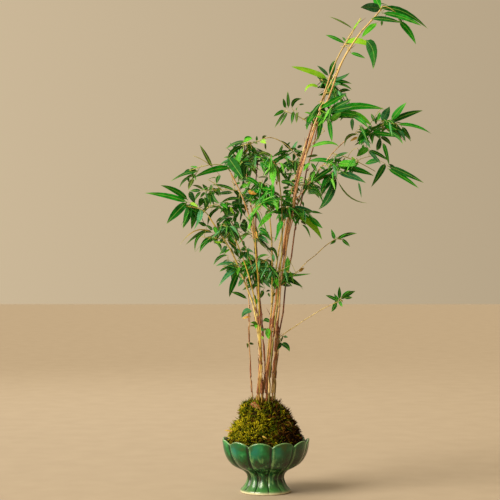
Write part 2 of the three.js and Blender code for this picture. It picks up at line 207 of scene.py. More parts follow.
# Each cane rises from its foot on the ball to its tip. lean is the sideways slope at foot and at tip, and bow
# the height at which it sways aside, by how much and over what length.
canes = {
    "cane_left_outer": {"foot": (-19, -12), "tip": (-96, -36, 469), "lean": (0.25, -0.7), "girth": 4},
    "cane_left_inner": {"foot": (-13, -18), "tip": (-58, -64, 443), "lean": (0.1, -0.5), "girth": 3.2},
    "cane_left_upper": {"foot": (-12, 5), "tip": (-78, 28, 486), "lean": (0, -0.8), "girth": 3.2},
    "cane_left_thin": {"foot": (-21, 6), "tip": (-50, 52, 390), "lean": (-0.1, -0.3), "girth": 2.4,
                       "bow": (350, 9, 60)},
    "cane_apex": {"foot": (-3, -6), "tip": (-59, -10, 543), "lean": (-0.15, -0.55), "girth": 3.8},
    "cane_mid_brown": {"foot": (1, 0), "tip": (-13, 26, 572), "lean": (0, 0.1), "girth": 3},
    "cane_mid_gold": {"foot": (-8, 1), "tip": (1, -36, 513), "lean": (0.15, -0.15), "girth": 3.4},
    "cane_mid_tall": {"foot": (5, -19), "tip": (18, -66, 547), "lean": (0, -0.2), "girth": 3},
    "cane_tall_orange": {"foot": (-1, -15), "tip": (195, -12, 820), "lean": (0.08, 0.72), "girth": 4.6,
                         "bow": (745, -9, 42)},
    "cane_tall_brown": {"foot": (14, -4), "tip": (164, 14, 807), "lean": (0.04, 0.6), "girth": 4,
                        "bow": (745, -4, 38)},
    "cane_tall_tan": {"foot": (6, 5), "tip": (143, 42, 758), "lean": (-0.02, 0.55), "girth": 3.6},
    "cane_right_back": {"foot": (13, 9), "tip": (108, 70, 697), "lean": (0.06, 0.25), "girth": 3.4},
    "cane_right_front": {"foot": (10, -11), "tip": (91, -58, 650), "lean": (0.05, 0.35), "girth": 3.4},
    "cane_back_left": {"foot": (-6, 13), "tip": (-34, 104, 556), "lean": (0, -0.15), "girth": 3.2},
    "cane_back_right": {"foot": (5, 15), "tip": (64, 92, 520), "lean": (0.05, 0.3), "girth": 3.2},
    "cane_front": {"foot": (-7, -18), "tip": (-22, -104, 474), "lean": (0, -0.1), "girth": 3},
}

# Each bough leaves a cane at a height and ends at its tip, with its middle raised by bow.
boughs = {
    "bough_arch": {"limb": "cane_tall_tan", "height": 566, "tip": (-4, -6, 599), "bow": 17, "girth": 2},
    "bough_fan": {"limb": "cane_tall_brown", "height": 494, "tip": (137, -26, 598), "bow": 8, "girth": 2.4},
    "bough_reach_low": {"limb": "cane_tall_brown", "height": 262, "tip": (115, -8, 320), "bow": 4,
                        "girth": 1.9},
    "bough_reach_mid": {"limb": "cane_tall_brown", "height": 352, "tip": (119, 10, 429), "bow": 5,
                        "girth": 1.9},
}

# The skin of each cane and bough, from straw to olive
skins = {
    "cane_left_outer": "straw", "cane_left_inner": "gold", "cane_left_upper": "tan",
    "cane_left_thin": "tan", "cane_apex": "tan", "cane_mid_brown": "red_brown",
    "cane_mid_gold": "straw", "cane_mid_tall": "olive", "cane_tall_orange": "orange",
    "cane_tall_brown": "brown", "cane_tall_tan": "straw", "cane_right_back": "brown",
    "cane_right_front": "tan", "cane_back_left": "tan", "cane_back_right": "brown",
    "cane_front": "gold", "bough_arch": "straw", "bough_fan": "tan",
    "bough_reach_low": "straw", "bough_reach_mid": "straw",
}


def spray(limb, turn, rise, reach, leaf, leaves, spread, roll, **more):
    """One mass of foliage, with the sizes that the rule grows it from."""
    return dict(
        limb=limb, turn=turn, rise=rise, reach=reach, leaf=leaf,
        leaves=leaves, spread=spread, roll=roll, **more,
    )


# Each spray leaves its limb at a height, or at the limb's tip where none is given. turn is the compass
# angle of its stem (0 right, 90 away), rise its angle above level, reach its length, leaf the length of
# its leaves, leaves their number, spread the angle of the lowest leaf and roll the tilt of its plane.
sprays = {
    "spray_top_tip": spray("cane_tall_orange", -4, -16, 27, 64, 8, 95, 80, droop=0.12),
    "spray_top_mid": spray("cane_tall_brown", -8, 12, 27, 46, 7, 80, 80, height=762),
    "spray_top_left": spray("cane_tall_tan", 165, 20, 14, 40, 6, 70, 70),
    "spray_upper_left": spray("cane_right_back", 172, 40, 18, 50, 9, 85, 75),
    "spray_upper_right": spray("cane_tall_tan", 5, 8, 26, 36, 9, 75, 70, height=682),
    "spray_shoulder": spray("cane_right_front", -5, -20, 34, 60, 9, 70, 80),
    "spray_shoulder_hang": spray("cane_tall_orange", -50, -30, 22, 40, 8, 75, 60, height=622),
    "spray_small_left": spray("cane_tall_brown", 178, 28, 54, 27, 11, 80, 85, height=623),
    "spray_fan_out": spray("bough_fan", 0, 17, 92, 46, 18, 62, 75, twigs=2),
    "spray_fan_hang": spray("bough_fan", 20, -20, 84, 46, 12, 68, 75, height=574, twigs=1),
    "spray_fan_drop": spray("bough_fan", -40, -62, 42, 54, 10, 78, 80, height=556),
    "spray_star": spray("cane_tall_tan", 150, 26, 28, 36, 11, 90, 70, height=556),
    "spray_bright": spray("cane_mid_tall", 190, 50, 20, 36, 11, 90, 65),
    "spray_heart_right": spray("cane_tall_orange", -20, -6, 24, 60, 8, 70, 70, height=478),
    "spray_heart_left": spray("cane_right_front", 205, -4, 24, 44, 9, 75, 65, height=478),
    "spray_bundle": spray("cane_tall_brown", 30, 6, 26, 30, 8, 80, 60, height=520),
    "spray_crest": spray("cane_mid_brown", 170, 40, 22, 40, 12, 90, 65),
    "spray_core": spray("cane_mid_gold", 235, 12, 34, 38, 12, 85, 62),
    "spray_core_left": spray("cane_mid_brown", 165, 16, 30, 36, 10, 80, 65, height=498),
    "spray_arch": spray("bough_arch", 184, -16, 44, 42, 10, 70, 80),
    "spray_wing": spray("cane_apex", 178, 2, 70, 42, 12, 60, 75, twigs=1),
    "spray_lace": spray("cane_apex", 186, 0, 58, 25, 13, 70, 80, height=512, twigs=1),
    "spray_left_upper": spray("cane_left_upper", 178, -12, 26, 34, 10, 80, 70),
    "spray_far_left": spray("cane_left_outer", 182, 18, 48, 66, 10, 70, 85, droop=0.5),
    "spray_left_hang": spray("cane_left_outer", 186, 6, 38, 42, 10, 65, 78, height=430, droop=0.8),
    "spray_left_inner": spray("cane_left_inner", 160, 30, 18, 40, 10, 90, 65),
    "spray_low_left": spray("cane_left_thin", 186, -25, 22, 44, 9, 80, 75),
    "spray_low_outer": spray("cane_left_outer", 178, 0, 26, 36, 9, 75, 70, height=384),
    "spray_low_front": spray("cane_apex", 295, 4, 44, 36, 12, 72, 62, height=385, twigs=1),
    "spray_low_heart": spray("cane_mid_gold", 312, 2, 44, 38, 12, 72, 62, height=372, twigs=1),
    "spray_low_back": spray("cane_mid_brown", 95, 4, 44, 38, 12, 72, 62, height=372, twigs=1),
    "spray_low_right": spray("cane_tall_brown", -15, -2, 14, 38, 7, 90, 75, height=364),
    "spray_reach_low": spray("bough_reach_low", 2, 18, 17, 26, 9, 95, 82),
    "spray_reach_mid": spray("bough_reach_mid", 0, -4, 10, 33, 5, 100, 82),
    "spray_back_left": spray("cane_back_left", 110, 4, 42, 44, 12, 70, 65, twigs=1),
    "spray_back_right": spray("cane_back_right", 60, 4, 42, 44, 12, 70, 60, twigs=1),
    "spray_back_low": spray("cane_back_left", 80, 8, 40, 42, 11, 70, 60, height=424, twigs=1),
    "spray_front": spray("cane_front", 290, 2, 36, 42, 12, 80, 62),
}

# The plainest leaves of the front, by the mass or limb that carries them. A row is a leaf's root and tip in
# pixels of the photograph, its width in pixels, its tone and, where it bends, its middle in pixels.
front_leaves = {
    "spray_top_tip": [
        (380.5, 9, 360.5, 7.5, 7.5, GREY), (380.5, 8, 369.5, -14, 6, MID, 376, -1),
        (381, 9, 428, 29, 5.2, DEEP, 403, 11.5), (382, 13, 422, 26, 5, MID, 402, 17),
        (371, 18.5, 402, 23, 4.2, DEEP), (399, 21, 416, 44.5, 4.8, MID, 409, 31),
        (376.5, 23, 361.5, 38, 5.5, BRIGHT), (382, 21, 381.5, 26, 2, MID),
    ],
    "spray_top_mid": [
        (346, 43, 374.5, 48.5, 5, LIME, 359, 41), (366, 40, 373, 69.5, 7.5, DEEP, 373.5, 52),
        (350.5, 53, 365.5, 58.5, 2.8, MID), (353, 30, 362, 18, 1.5, LIME), (352, 38, 346, 46, 3, MID),
    ],
    "spray_top_left": [
        (353, 29, 329, 16.5, 1.5, OLIVE), (345.5, 43.5, 325.5, 35, 2.5, MID), (346, 41, 342, 37, 1.5, DEEP),
    ],
    "spray_upper_left": [
        (327.5, 78.5, 291, 66.5, 5.6, LIME, 310, 71.5), (328.5, 76, 317, 65.5, 3, GREY),
        (331.5, 76.5, 337, 58, 3.8, MID, 333, 68), (332, 75.5, 329, 82, 4, DEEP),
        (330, 83.5, 316.5, 76.5, 3.4, DEEP), (330, 88.5, 317, 88, 3.8, DEEP, 324, 86.2),
        (319, 87.5, 304.5, 92.5, 3.2, LIME, 310, 85.5), (329, 93.5, 318.5, 95.5, 2.6, DEEP),
        (330.5, 79, 329, 94, 1.8, LIME, 331.5, 87), (332, 77.5, 334.5, 60, 3.2, DEEP, 331, 68.5),
    ],
    "spray_upper_right": [
        (331, 80, 350, 72.5, 3, GREY, 341, 78), (332, 81, 352, 83.8, 3.6, DEEP),
        (332.5, 85, 341, 84, 2.6, GREY), (337, 83.5, 352, 90, 2.8, DEEP, 345, 85.5),
        (338, 92.5, 350.5, 90.8, 2.8, DEEP, 344, 90), (332.5, 86, 335.5, 98, 5.5, DEEP),
        (334, 87, 338.5, 92, 3.4, MID), (334, 98, 347, 93.5, 2.8, GREY),
    ],
    "spray_shoulder": [
        (321, 108.5, 346, 94.5, 4.4, MID, 334, 100.5), (328, 111, 351, 99.5, 4.8, DEEP, 341, 104.5),
        (320.5, 107.5, 327, 112, 4.4, DEEP), (341.5, 98, 342, 103.5, 2, DEEP),
        (334, 112, 385, 109.5, 5.8, MID, 357, 106), (340, 114, 372, 126, 5.6, BRIGHT, 357, 115.5),
        (352, 116, 369, 129, 3.8, MID, 361, 120), (330, 112, 352, 107, 4.8, DEEP, 341, 109),
        (330, 113.5, 356, 115, 4.8, MID, 343, 112.5), (331, 116.5, 354, 118.5, 4, DEEP, 342, 115.5),
        (331, 122, 341, 112.5, 6, BRIGHT), (329, 119, 332, 142, 4, MID), (322, 117, 317.5, 141, 4, DEEP),
        (352, 118, 352.5, 131, 3.2, GREY), (320, 110, 329, 117, 1.5, LIME),
        (323.5, 113, 325.5, 121, 3.4, GREY),
    ],
    "spray_shoulder_hang": [
        (319, 111.5, 309, 121, 3.2, DEEP, 312, 113), (320, 112.5, 315, 121, 2.8, GREY, 316.5, 115),
        (317, 114, 306.5, 130, 3.6, MID, 309.5, 120), (310, 147.5, 339, 146.5, 3, BRIGHT, 327, 142.5),
    ],
    "spray_small_left": [
        (284.5, 110.5, 273.5, 116.5, 3, MID), (285, 112, 274.5, 128, 2.2, DEEP),
        (287.5, 112, 279.5, 126.5, 2.2, DEEP), (286, 108, 283, 98.5, 3, MID),
        (288.5, 108, 287.7, 91, 2.8, DEEP), (292, 108, 302, 98.7, 3.4, DEEP, 294.3, 101),
        (293.5, 111, 291.5, 124.5, 3, DEEP), (297, 112, 296.5, 123, 2.5, OLIVE),
        (299, 104.8, 304.5, 104.2, 1.4, MID), (296, 110, 297, 107.5, 1.5, MID),
    ],
    "spray_fan_out": [
        (382, 122, 389.5, 106.5, 6.4, GREY), (391, 120.5, 406.5, 102.5, 5.2, MID),
        (390, 122.5, 423, 110.5, 4.8, DEEP), (397, 124.5, 431.5, 134, 4.6, MID, 415, 126.5),
        (397, 127, 405.5, 142, 3.4, GREY, 402, 134), (402, 127, 411, 139, 3.2, DEEP, 406, 132),
        (384, 125, 402, 138.5, 6.4, DEEP, 394, 130), (383, 123, 397, 130, 5, MID),
        (376.5, 124, 376, 116.5, 3, MID), (370, 132, 357, 142, 6.5, MID, 362, 135),
        (364, 134, 359, 145, 6, MID), (358, 134.5, 344.5, 146.5, 2.2, OLIVE, 348, 136.5),
        (358, 137, 350, 141.5, 2.2, DRY), (370, 133.5, 399, 137.5, 4, MID),
        (381, 138.5, 376.5, 150.5, 5.2, DEEP), (372, 133, 380, 139, 3.2, DEEP),
        (391, 127.5, 411, 141.5, 3.2, DEEP, 403, 132), (387, 130.5, 403, 144.5, 2.8, MID, 397, 136),
        (380, 136.5, 391.5, 146.5, 3, DEEP, 387, 140), (375, 122, 371, 113.5, 2.6, DEEP),
        (378, 121, 380, 112, 2.8, MID), (366, 131.5, 372, 125.5, 2.4, GREY),
    ],
    "spray_fan_hang": [
        (368, 147.5, 356.5, 156.5, 6.6, BRIGHT), (383, 143, 389.5, 166, 3.4, MID, 386, 152),
        (369, 150, 389, 161, 3, DEEP), (368.5, 150.5, 381, 164, 3.2, GREY),
        (380, 161, 365, 163.8, 4.6, MID), (385, 163.5, 371, 187.5, 5.4, DEEP, 380, 173),
        (387.5, 166, 424, 183, 4.4, DEEP, 406, 173.5), (387.5, 168.5, 419, 188.5, 4.2, MID, 403, 177),
        (389, 164, 399, 173, 2.6, DEEP),
    ],
    "spray_fan_drop": [
        (333.5, 163, 308, 161.5, 4, MID, 321, 160), (334, 167.5, 310.5, 183, 4, DEEP),
        (330, 174, 312, 184.5, 2.2, OLIVE), (334.5, 170.5, 320.5, 194, 6.4, DEEP),
        (336.5, 177, 318.5, 209.5, 6.4, DEEP, 329, 197), (338, 168, 374, 176, 4.6, MID, 356, 169.5),
        (338, 173, 366, 183, 5, GREY, 352, 176), (338, 164.5, 359, 164.5, 6, BRIGHT),
        (351.5, 157, 356, 162, 2, LIME), (335, 157, 348.5, 152.5, 2.4, GREY),
        (318, 155.3, 306, 157.5, 2, OLIVE), (311.5, 163, 317, 172, 2.8, DEEP),
        (358.5, 182, 361.5, 198, 1.8, GREY), (307, 184.5, 303.2, 191.8, 3.2, DEEP),
        (337.5, 180, 368, 203, 1.3, OLIVE, 350, 197), (310.5, 188.5, 321, 197, 2.8, DEEP, 317, 189.5),
        (308, 194.3, 318, 194.8, 2.2, DEEP, 312.5, 192.8),
        (307, 193.5, 319.5, 196.5, 1.4, GREY, 313, 190.6),
        (309.5, 162.5, 303.5, 171.5, 3.2, BRIGHT, 306.5, 166.5), (302, 201, 303.5, 207, 2, DEEP),
    ],
    "spray_star": [
        (291, 149, 280.5, 140.5, 3.4, DEEP), (293, 149.5, 297.5, 141, 3, GREY),
        (289, 151, 272, 157.5, 3, DEEP, 280, 153), (290, 154, 271, 164, 3.8, DEEP, 281, 157.5),
        (292, 161.5, 278.5, 175.5, 4, DEEP, 283.5, 166.5), (297, 147.5, 302.5, 145.8, 2.2, DEEP),
        (280, 158.5, 270, 165, 4, MID), (281.5, 173.5, 290, 180, 2.8, GREY),
        (281, 181.8, 291, 183, 3.4, DEEP), (290.5, 182, 294, 186.5, 4.4, GREY),
        (294.5, 147.5, 296.5, 153.5, 3.6, DEEP), (296, 154.5, 301.5, 158.5, 3, DEEP, 299.5, 155),
        (305.5, 151.5, 301.8, 156.5, 2, OLIVE), (293.5, 153.5, 292.5, 161.5, 2.8, DEEP, 294, 157),
        (293.5, 161, 296.5, 165.5, 2.8, OLIVE), (293, 165, 293.3, 170.5, 2.6, DEEP),
        (295.5, 170.8, 295.3, 175.5, 3, DEEP), (300, 166.5, 298.7, 170.5, 3, DEEP),
        (298.5, 169.5, 293.5, 170, 2.2, GREY), (280.5, 172.5, 279.5, 182.5, 1.6, OLIVE, 277.8, 178),
        (276.6, 181, 277.2, 185.3, 2.4, DRY),
    ],
    "spray_bright": [
        (270.5, 162, 271.5, 172, 3, BRIGHT), (270.8, 167.5, 272.5, 189.5, 7, BRIGHT, 274, 177),
        (271.8, 184, 271.5, 199, 5, MID), (262, 152.5, 274, 157.5, 2.6, OLIVE),
        (259, 154, 266, 152, 4, OLIVE), (260, 158, 268, 162, 4.5, GREY), (262, 162, 270, 168.5, 3, MID),
        (264.5, 156, 268.5, 159, 3, DEEP), (246, 177.5, 264, 192.5, 3.8, MID, 256, 183),
        (262, 188.5, 271, 190, 5, MID), (260, 141.3, 266.5, 143.5, 3, LIME),
        (265, 142.5, 266.3, 150, 2.2, OLIVE), (253, 141.5, 257.5, 144.3, 2.4, OLIVE),
    ],
    "spray_heart_right": [
        (289.5, 210.5, 322, 240, 6.6, LIME, 309, 222), (290, 208.5, 315, 212.5, 5.4, GREY),
        (308, 216.5, 323, 228.5, 3.8, MID), (310, 211.5, 323, 214, 2.2, MID),
        (301, 221, 306, 225, 2, OLIVE), (302, 225, 310.5, 238.5, 1.8, MID, 307, 229),
        (284, 200, 298, 206, 3, DEEP, 292, 201),
    ],
    "spray_heart_left": [
        (277.5, 198, 277.3, 211, 4.6, BRIGHT), (284, 211.5, 272, 212.5, 6, MID),
        (272, 212.5, 257.5, 229, 4.8, BRIGHT), (281, 220, 274.5, 242, 5, MID, 279, 231),
        (283, 214, 290, 217.5, 5, MID), (258, 229, 270.5, 238.5, 4, DEEP, 265.5, 231.5),
        (264, 205, 275, 204, 4.4, MID, 269, 202.5), (270, 205.5, 274.5, 210.5, 4, OLIVE),
        (283, 188.5, 289.5, 187, 2.2, DEEP), (283.5, 194.3, 290.3, 190.8, 2.6, DEEP, 286.5, 191.3),
        (284, 197.3, 291, 196, 2.2, MID), (272, 193, 281, 198, 2, OLIVE, 277, 193.6),
        (272.5, 195, 280, 199.5, 3, GREY), (276.5, 198.5, 282, 200.5, 4, MID),
        (270, 210.5, 265, 216.5, 1.8, OLIVE, 267, 212),
    ],
    "spray_bundle": [
        (291, 181, 297, 181.5, 2, DEEP), (288.5, 191, 291.5, 194, 1.8, MID), (296, 196, 299, 203, 2, OLIVE),
    ],
    "spray_crest": [
        (247.5, 146, 256.3, 159, 3.2, DEEP, 253, 150.5), (246, 144.3, 250, 149.5, 4.2, DEEP),
        (253, 160, 256, 165.5, 4.4, DEEP), (253, 166, 255.8, 174.5, 3.4, OLIVE),
        (241, 154.5, 252.3, 155.7, 1.7, OLIVE), (244, 163.6, 256, 165.3, 2.4, GREY),
        (244, 161, 254, 162.5, 2, DEEP), (245, 166, 256, 166.3, 1.8, DEEP),
        (244, 160, 244.3, 179, 5.4, DEEP), (258, 177.5, 269, 177.5, 1.2, OLIVE),
        (248, 150, 244.3, 153, 1.8, DRY), (250, 159.3, 256, 158.3, 1.8, OLIVE),
    ],
    "spray_core": [
        (255, 193, 262, 199, 4.5, DEEP), (262, 192, 270.5, 200, 5.5, MID), (261, 198, 266, 201, 3, GREY),
        (266, 201, 277, 207, 4.5, DEEP), (248, 191.5, 257, 194, 3.5, DRY),
        (254, 198, 260, 201.5, 2.4, OLIVE), (256, 203, 259, 207, 2, OLIVE), (270, 191, 262, 197, 4, BRIGHT),
        (268, 197, 274, 201, 3, MID), (253, 189, 262, 193, 4, MID), (254.5, 214.5, 249.5, 219.8, 4, GREY),
        (250.5, 219, 250, 228, 2.2, OLIVE),
    ],
    "spray_core_left": [
        (242, 187.3, 249.5, 185.5, 3.4, BRIGHT), (249, 181, 248.5, 188, 4, BRIGHT),
        (243, 180, 244, 187.5, 2.6, DEEP), (241, 179.7, 250, 179.7, 1.8, DEEP),
        (247.5, 188.7, 241, 197, 3, DEEP), (250, 194.5, 244.5, 198.8, 3.4, DEEP),
        (249, 194, 244, 199, 2.6, GREY), (253.5, 203, 243.5, 206, 2, OLIVE, 248, 200.5),
        (250, 202.3, 254, 202.3, 2, DEEP), (247, 204.5, 244.5, 210.5, 3, DRY),
        (231.5, 206, 243, 211.5, 5.4, DEEP, 238, 204), (239, 204.5, 242.5, 216.5, 4.6, DEEP, 241.6, 209),
        (234, 209, 239.7, 213.8, 4, DEEP), (234.5, 178, 238.5, 172.8, 2.4, MID),
    ],
    "spray_arch": [
        (246, 141.7, 225.3, 149.3, 2.6, DEEP, 235, 143.5),
        (243.5, 145.5, 227.8, 159, 3, DEEP, 233.3, 150.7), (236.5, 149.5, 237.8, 154.3, 3, DEEP),
        (243.7, 148, 241.8, 179.5, 4.2, BRIGHT, 237.7, 162),
        (228.5, 157.5, 243, 178.5, 8.2, DEEP, 235, 167), (243, 141.3, 252.5, 138.5, 3.2, BRIGHT),
        (252, 148.3, 257, 152.3, 2, MID), (244, 140.5, 252.7, 139.3, 4, MID, 249, 137.4),
        (256.7, 141, 256.8, 135.8, 3.6, MID), (262.6, 140, 267, 136, 2.6, OLIVE, 264, 136.6),
        (261, 140.3, 266.6, 140.8, 2.8, LIME), (245, 139.8, 250.5, 139.3, 1.8, LIME),
    ],
    "spray_wing": [
        (212.5, 168, 199.5, 144.5, 3.2, OLIVE), (231, 168, 193, 178, 5, MID, 213, 169.7),
        (197.5, 171.5, 170.5, 181.5, 3.7, DEEP, 185.5, 173.5), (198, 168, 190, 166.5, 2, MID),
        (192, 175.8, 179.5, 188, 2.2, DEEP, 184, 180.5), (188, 176, 189, 182.5, 2, DEEP),
        (193, 178.5, 188.5, 190, 4.4, OLIVE), (219.5, 175, 216.5, 184, 3.2, DEEP),
        (216, 177.5, 208, 179.5, 1.5, OLIVE), (207.5, 190.7, 202.5, 184, 3.8, DEEP),
        (211.5, 191, 211, 184.3, 3.8, DEEP), (235, 190.3, 211.5, 185, 2.6, DEEP, 222, 185.8),
    ],
    "spray_lace": [
        (203.5, 190, 192, 185.3, 2, OLIVE, 198, 186.3), (201, 191, 190, 191, 2.6, DEEP),
        (215.3, 192, 219.3, 189.2, 2.4, DEEP, 217, 189.3), (233, 192.8, 215, 195, 3, DEEP),
        (212, 192.7, 219.8, 203.2, 3.4, DEEP, 214.3, 199.5), (205, 192.3, 200, 197.8, 2.2, DEEP),
        (201, 192.2, 195, 200.7, 2.4, DEEP, 197.3, 195.5), (208.8, 192.5, 209, 199.5, 3.2, DEEP),
        (202, 197.5, 199.5, 207, 6.6, MID), (207.5, 197, 205.5, 210, 4.8, MID),
        (239, 199, 220.5, 203, 2.8, DEEP, 230, 198.6), (220, 206.7, 208, 208.3, 1.7, OLIVE),
        (219.7, 208.3, 207.7, 226, 3.2, DEEP, 211, 213.8), (220, 203.5, 227.5, 208.7, 3.6, MID),
        (224, 208, 231, 214.7, 4, GREY), (233.5, 190.5, 239.5, 199.7, 3, DEEP, 237.5, 193.5),
    ],
    "spray_left_upper": [
        (231, 213.8, 217.3, 225.8, 3.2, DEEP, 223.3, 218.3),
        (233.5, 217.7, 220.7, 229.5, 4, DEEP, 225.5, 222.3), (222, 230.3, 233.3, 227.3, 6.4, LIME),
        (225, 234, 229.5, 239.5, 3.8, GREY), (242.7, 219.5, 245.7, 233, 7.8, DEEP),
        (234.7, 222.7, 237, 233.3, 4.6, GREY), (235.3, 221.3, 239.3, 229, 4.4, DEEP),
        (235.5, 232.5, 238.7, 241.5, 6.6, MID), (228, 238, 235.3, 250.5, 4, MID, 231.7, 243),
        (254, 214.2, 259.3, 220.5, 2.6, DEEP), (230, 207, 234, 214.3, 2.6, LIME),
        (223.5, 232.7, 226.3, 238.7, 4.2, DEEP), (217.3, 222, 220, 230.3, 2.4, DEEP),
        (220, 231, 221.3, 236.7, 3, BRIGHT),
    ],
    "spray_far_left": [
        (187.5, 202.3, 144.5, 193, 4.6, MID, 168, 196), (188, 200.3, 160.5, 185.3, 4.6, MID, 175.5, 190.8),
        (187, 202.3, 166.5, 224, 6.6, DEEP), (190.5, 204.7, 182.7, 228.7, 6.4, DEEP, 187.3, 215),
        (196, 207, 191.3, 229.3, 6.4, MID, 195, 217), (200, 209, 193.3, 230.3, 4.6, GREY, 199.7, 219),
        (189.3, 191.3, 195, 203.7, 4.6, GREY), (190, 202.7, 198.3, 207, 2.4, LIME),
    ],
    "spray_left_hang": [
        (213, 233.3, 179.5, 245.3, 1, DRY, 196, 230.5), (212.5, 233, 185.3, 245.3, 3.2, DEEP, 201.5, 232.3),
        (205, 233, 195, 251.7, 2.6, DEEP, 197, 238.7), (216, 238.7, 199.7, 252.3, 5, MID, 206.5, 240.7),
        (213, 242, 221, 251.7, 2.2, DEEP, 219.3, 244.3), (206.5, 226.3, 198.3, 222.3, 2.8, DEEP),
        (213, 230, 206, 225.3, 2.8, DEEP), (214.3, 226.3, 216.5, 234.3, 5, MID),
        (227, 246, 221.3, 251.7, 3, GREY), (218, 231, 218.7, 236.3, 3, DEEP),
    ],
    "spray_low_outer": [
        (228, 255.3, 213.5, 265.5, 2.6, DEEP, 219.3, 257.7),
        (236, 265.5, 215.7, 266.3, 3.4, GREY, 226, 263.3), (236, 267.5, 219.5, 271.7, 3.2, DEEP, 227, 268),
        (235.5, 270.5, 218.3, 287, 4.6, GREY, 228.3, 274.3),
        (238.3, 273, 229.3, 297.3, 5, DEEP, 232.7, 284.7), (239, 267, 237.5, 275.3, 3, BRIGHT),
        (247, 299, 231, 292.3, 3, DEEP, 239, 294.3), (243, 279, 238.3, 287, 3.2, GREY),
    ],
    "spray_left_inner": [
        (222, 243, 214, 242, 1.6, LIME), (246.7, 247.3, 241, 248.7, 2.2, DEEP),
        (246, 250, 240, 249.7, 2.2, GREY), (246, 252, 241, 255.5, 2.6, DEEP),
        (242, 251, 240, 260, 2.8, DEEP), (243, 241, 245, 247, 2, DEEP),
        (256.7, 251.5, 253.7, 253.7, 1.8, OLIVE), (237.7, 248.3, 239.3, 254, 3, GREY),
    ],
    "spray_low_left": [
        (242, 267.5, 252, 266.5, 3.4, BRIGHT, 246.5, 262.3), (253, 262.7, 258.3, 264.5, 2.8, BRIGHT),
        (249, 269, 261.5, 262.3, 3.4, BRIGHT), (250, 264.5, 251, 270, 3.6, MID),
        (252, 271, 254.3, 276.7, 3.2, DEEP), (250, 276, 249.5, 288, 3, DEEP),
        (258, 286.3, 249.7, 290.7, 2, MID, 253.7, 286.7), (247, 262, 240, 264, 2.4, MID),
        (246, 268.5, 246.8, 277.3, 2.8, GREY), (249, 258.7, 253.3, 259.7, 2, BRIGHT),
        (251, 260.3, 253.3, 262.3, 2.6, DEEP), (257, 258.3, 264.5, 266.5, 2.8, BRIGHT),
    ],
    "spray_low_front": [
        (258, 237.3, 269.3, 244, 3, GREY, 264, 239.7), (260, 242, 265.7, 248.7, 1.8, OLIVE),
        (267, 250, 277.3, 262.3, 2.6, DEEP, 274.3, 250), (273, 254, 273.7, 262.7, 2.6, GREY),
        (254.5, 238.3, 256, 244, 2.4, GREY), (254.5, 231.5, 257.8, 238.5, 2.8, DRY),
        (260, 233.7, 262, 238.7, 2.6, DEEP), (261.3, 270.5, 258.3, 284, 4.2, GREY),
        (263.3, 290.3, 260, 298.5, 4.6, DEEP), (270, 290.3, 266, 291.7, 2.2, DEEP),
        (268, 293, 270, 297, 2.4, DEEP), (272.5, 296.7, 277.5, 291.3, 1.6, OLIVE),
        (254.7, 294.7, 254.3, 302.3, 2.4, DEEP), (251.3, 297, 251.7, 302.7, 2, DEEP),
        (256, 298.3, 257, 304.7, 2, MID),
    ],
    "spray_low_heart": [
        (260, 260.5, 267, 266.7, 3.2, DEEP), (260, 267, 272, 266.7, 4.8, DEEP),
        (262, 261, 269.7, 264.3, 2, GREY), (271, 265, 279.3, 278.7, 3.8, DEEP, 274, 272.7),
        (260, 269.7, 270.5, 270.3, 3.4, GREY), (272, 269, 276.5, 289.3, 5, MID, 272.7, 279.7),
        (270, 272.7, 264, 280, 4.4, DEEP), (264.7, 279.3, 270.7, 288, 2.4, GREY, 267, 283.7),
        (279, 285, 275, 289.3, 4, MID), (276, 278, 278, 286.7, 3.2, BRIGHT),
    ],
    "spray_low_right": [
        (287.5, 256.3, 284.3, 276, 4.2, BRIGHT, 287.3, 267), (283, 277, 303, 287.3, 4.6, DEEP, 291, 280),
        (280.5, 284.7, 292, 286.3, 4.8, DEEP), (288, 276, 311.5, 273.7, 1.8, MID, 299, 275),
        (281, 256, 284.5, 253, 1.8, OLIVE), (283, 279, 281.5, 286, 3.4, DEEP),
        (299, 272, 304.5, 267.7, 2.2, DRY),
    ],
    "spray_reach_low": [
        (340, 299, 355.5, 291, 3.8, DEEP), (338, 301, 325.5, 295.3, 2.8, DEEP),
        (338, 301, 334, 293, 2.6, MID), (339, 299, 339.5, 286.5, 3, MID), (337, 302, 331.5, 312, 3, DEEP),
        (339, 301, 342.5, 307, 2.6, MID), (342, 297.5, 350.5, 290.5, 2.8, MID),
        (344, 298, 352.5, 297.5, 2.6, DEEP),
    ],
    "spray_reach_mid": [
        (337, 239, 357, 233.5, 3.2, DEEP, 347, 234.5), (335, 239.5, 331, 229, 3, MID),
        (342, 239.5, 350, 246.5, 2.8, DEEP), (339, 238.5, 347, 233.5, 2.4, MID),
        (336, 240.5, 330, 244.5, 2.2, MID),
    ],
    "canes": [
        (252, 311, 241.5, 317.7, 5, GREY, 246, 311.5), (251, 316.7, 242, 318.7, 1.8, DRY),
        (254.5, 307.3, 254.5, 312, 2.8, DEEP), (256.5, 325, 261, 318.3, 2.2, OLIVE),
        (256.5, 325.7, 249.3, 326.5, 2, OLIVE), (257, 326, 264.5, 331.7, 2.4, MID),
        (258, 324, 250.5, 323, 4.2, BRIGHT), (257, 321.7, 255.7, 329, 4, BRIGHT),
        (270.5, 322.7, 262.3, 322.3, 3, DEEP, 266, 319.7), (267.3, 328, 268.8, 339.3, 4.8, BRIGHT),
        (262.5, 330, 267.5, 329, 1.8, OLIVE), (270, 331.5, 281, 341, 1.8, OLIVE, 276.5, 333.3),
        (281.3, 343.3, 289.5, 351.7, 5, DEEP, 286.5, 346), (281.5, 343, 277, 349.7, 4, DEEP),
        (280.5, 342, 283.5, 335, 1.6, OLIVE), (283.5, 336.5, 288, 337.5, 2.2, GREY),
        (262, 336.5, 264, 340, 2.6, LIME), (249.3, 343.3, 254, 344.5, 3, DEEP),
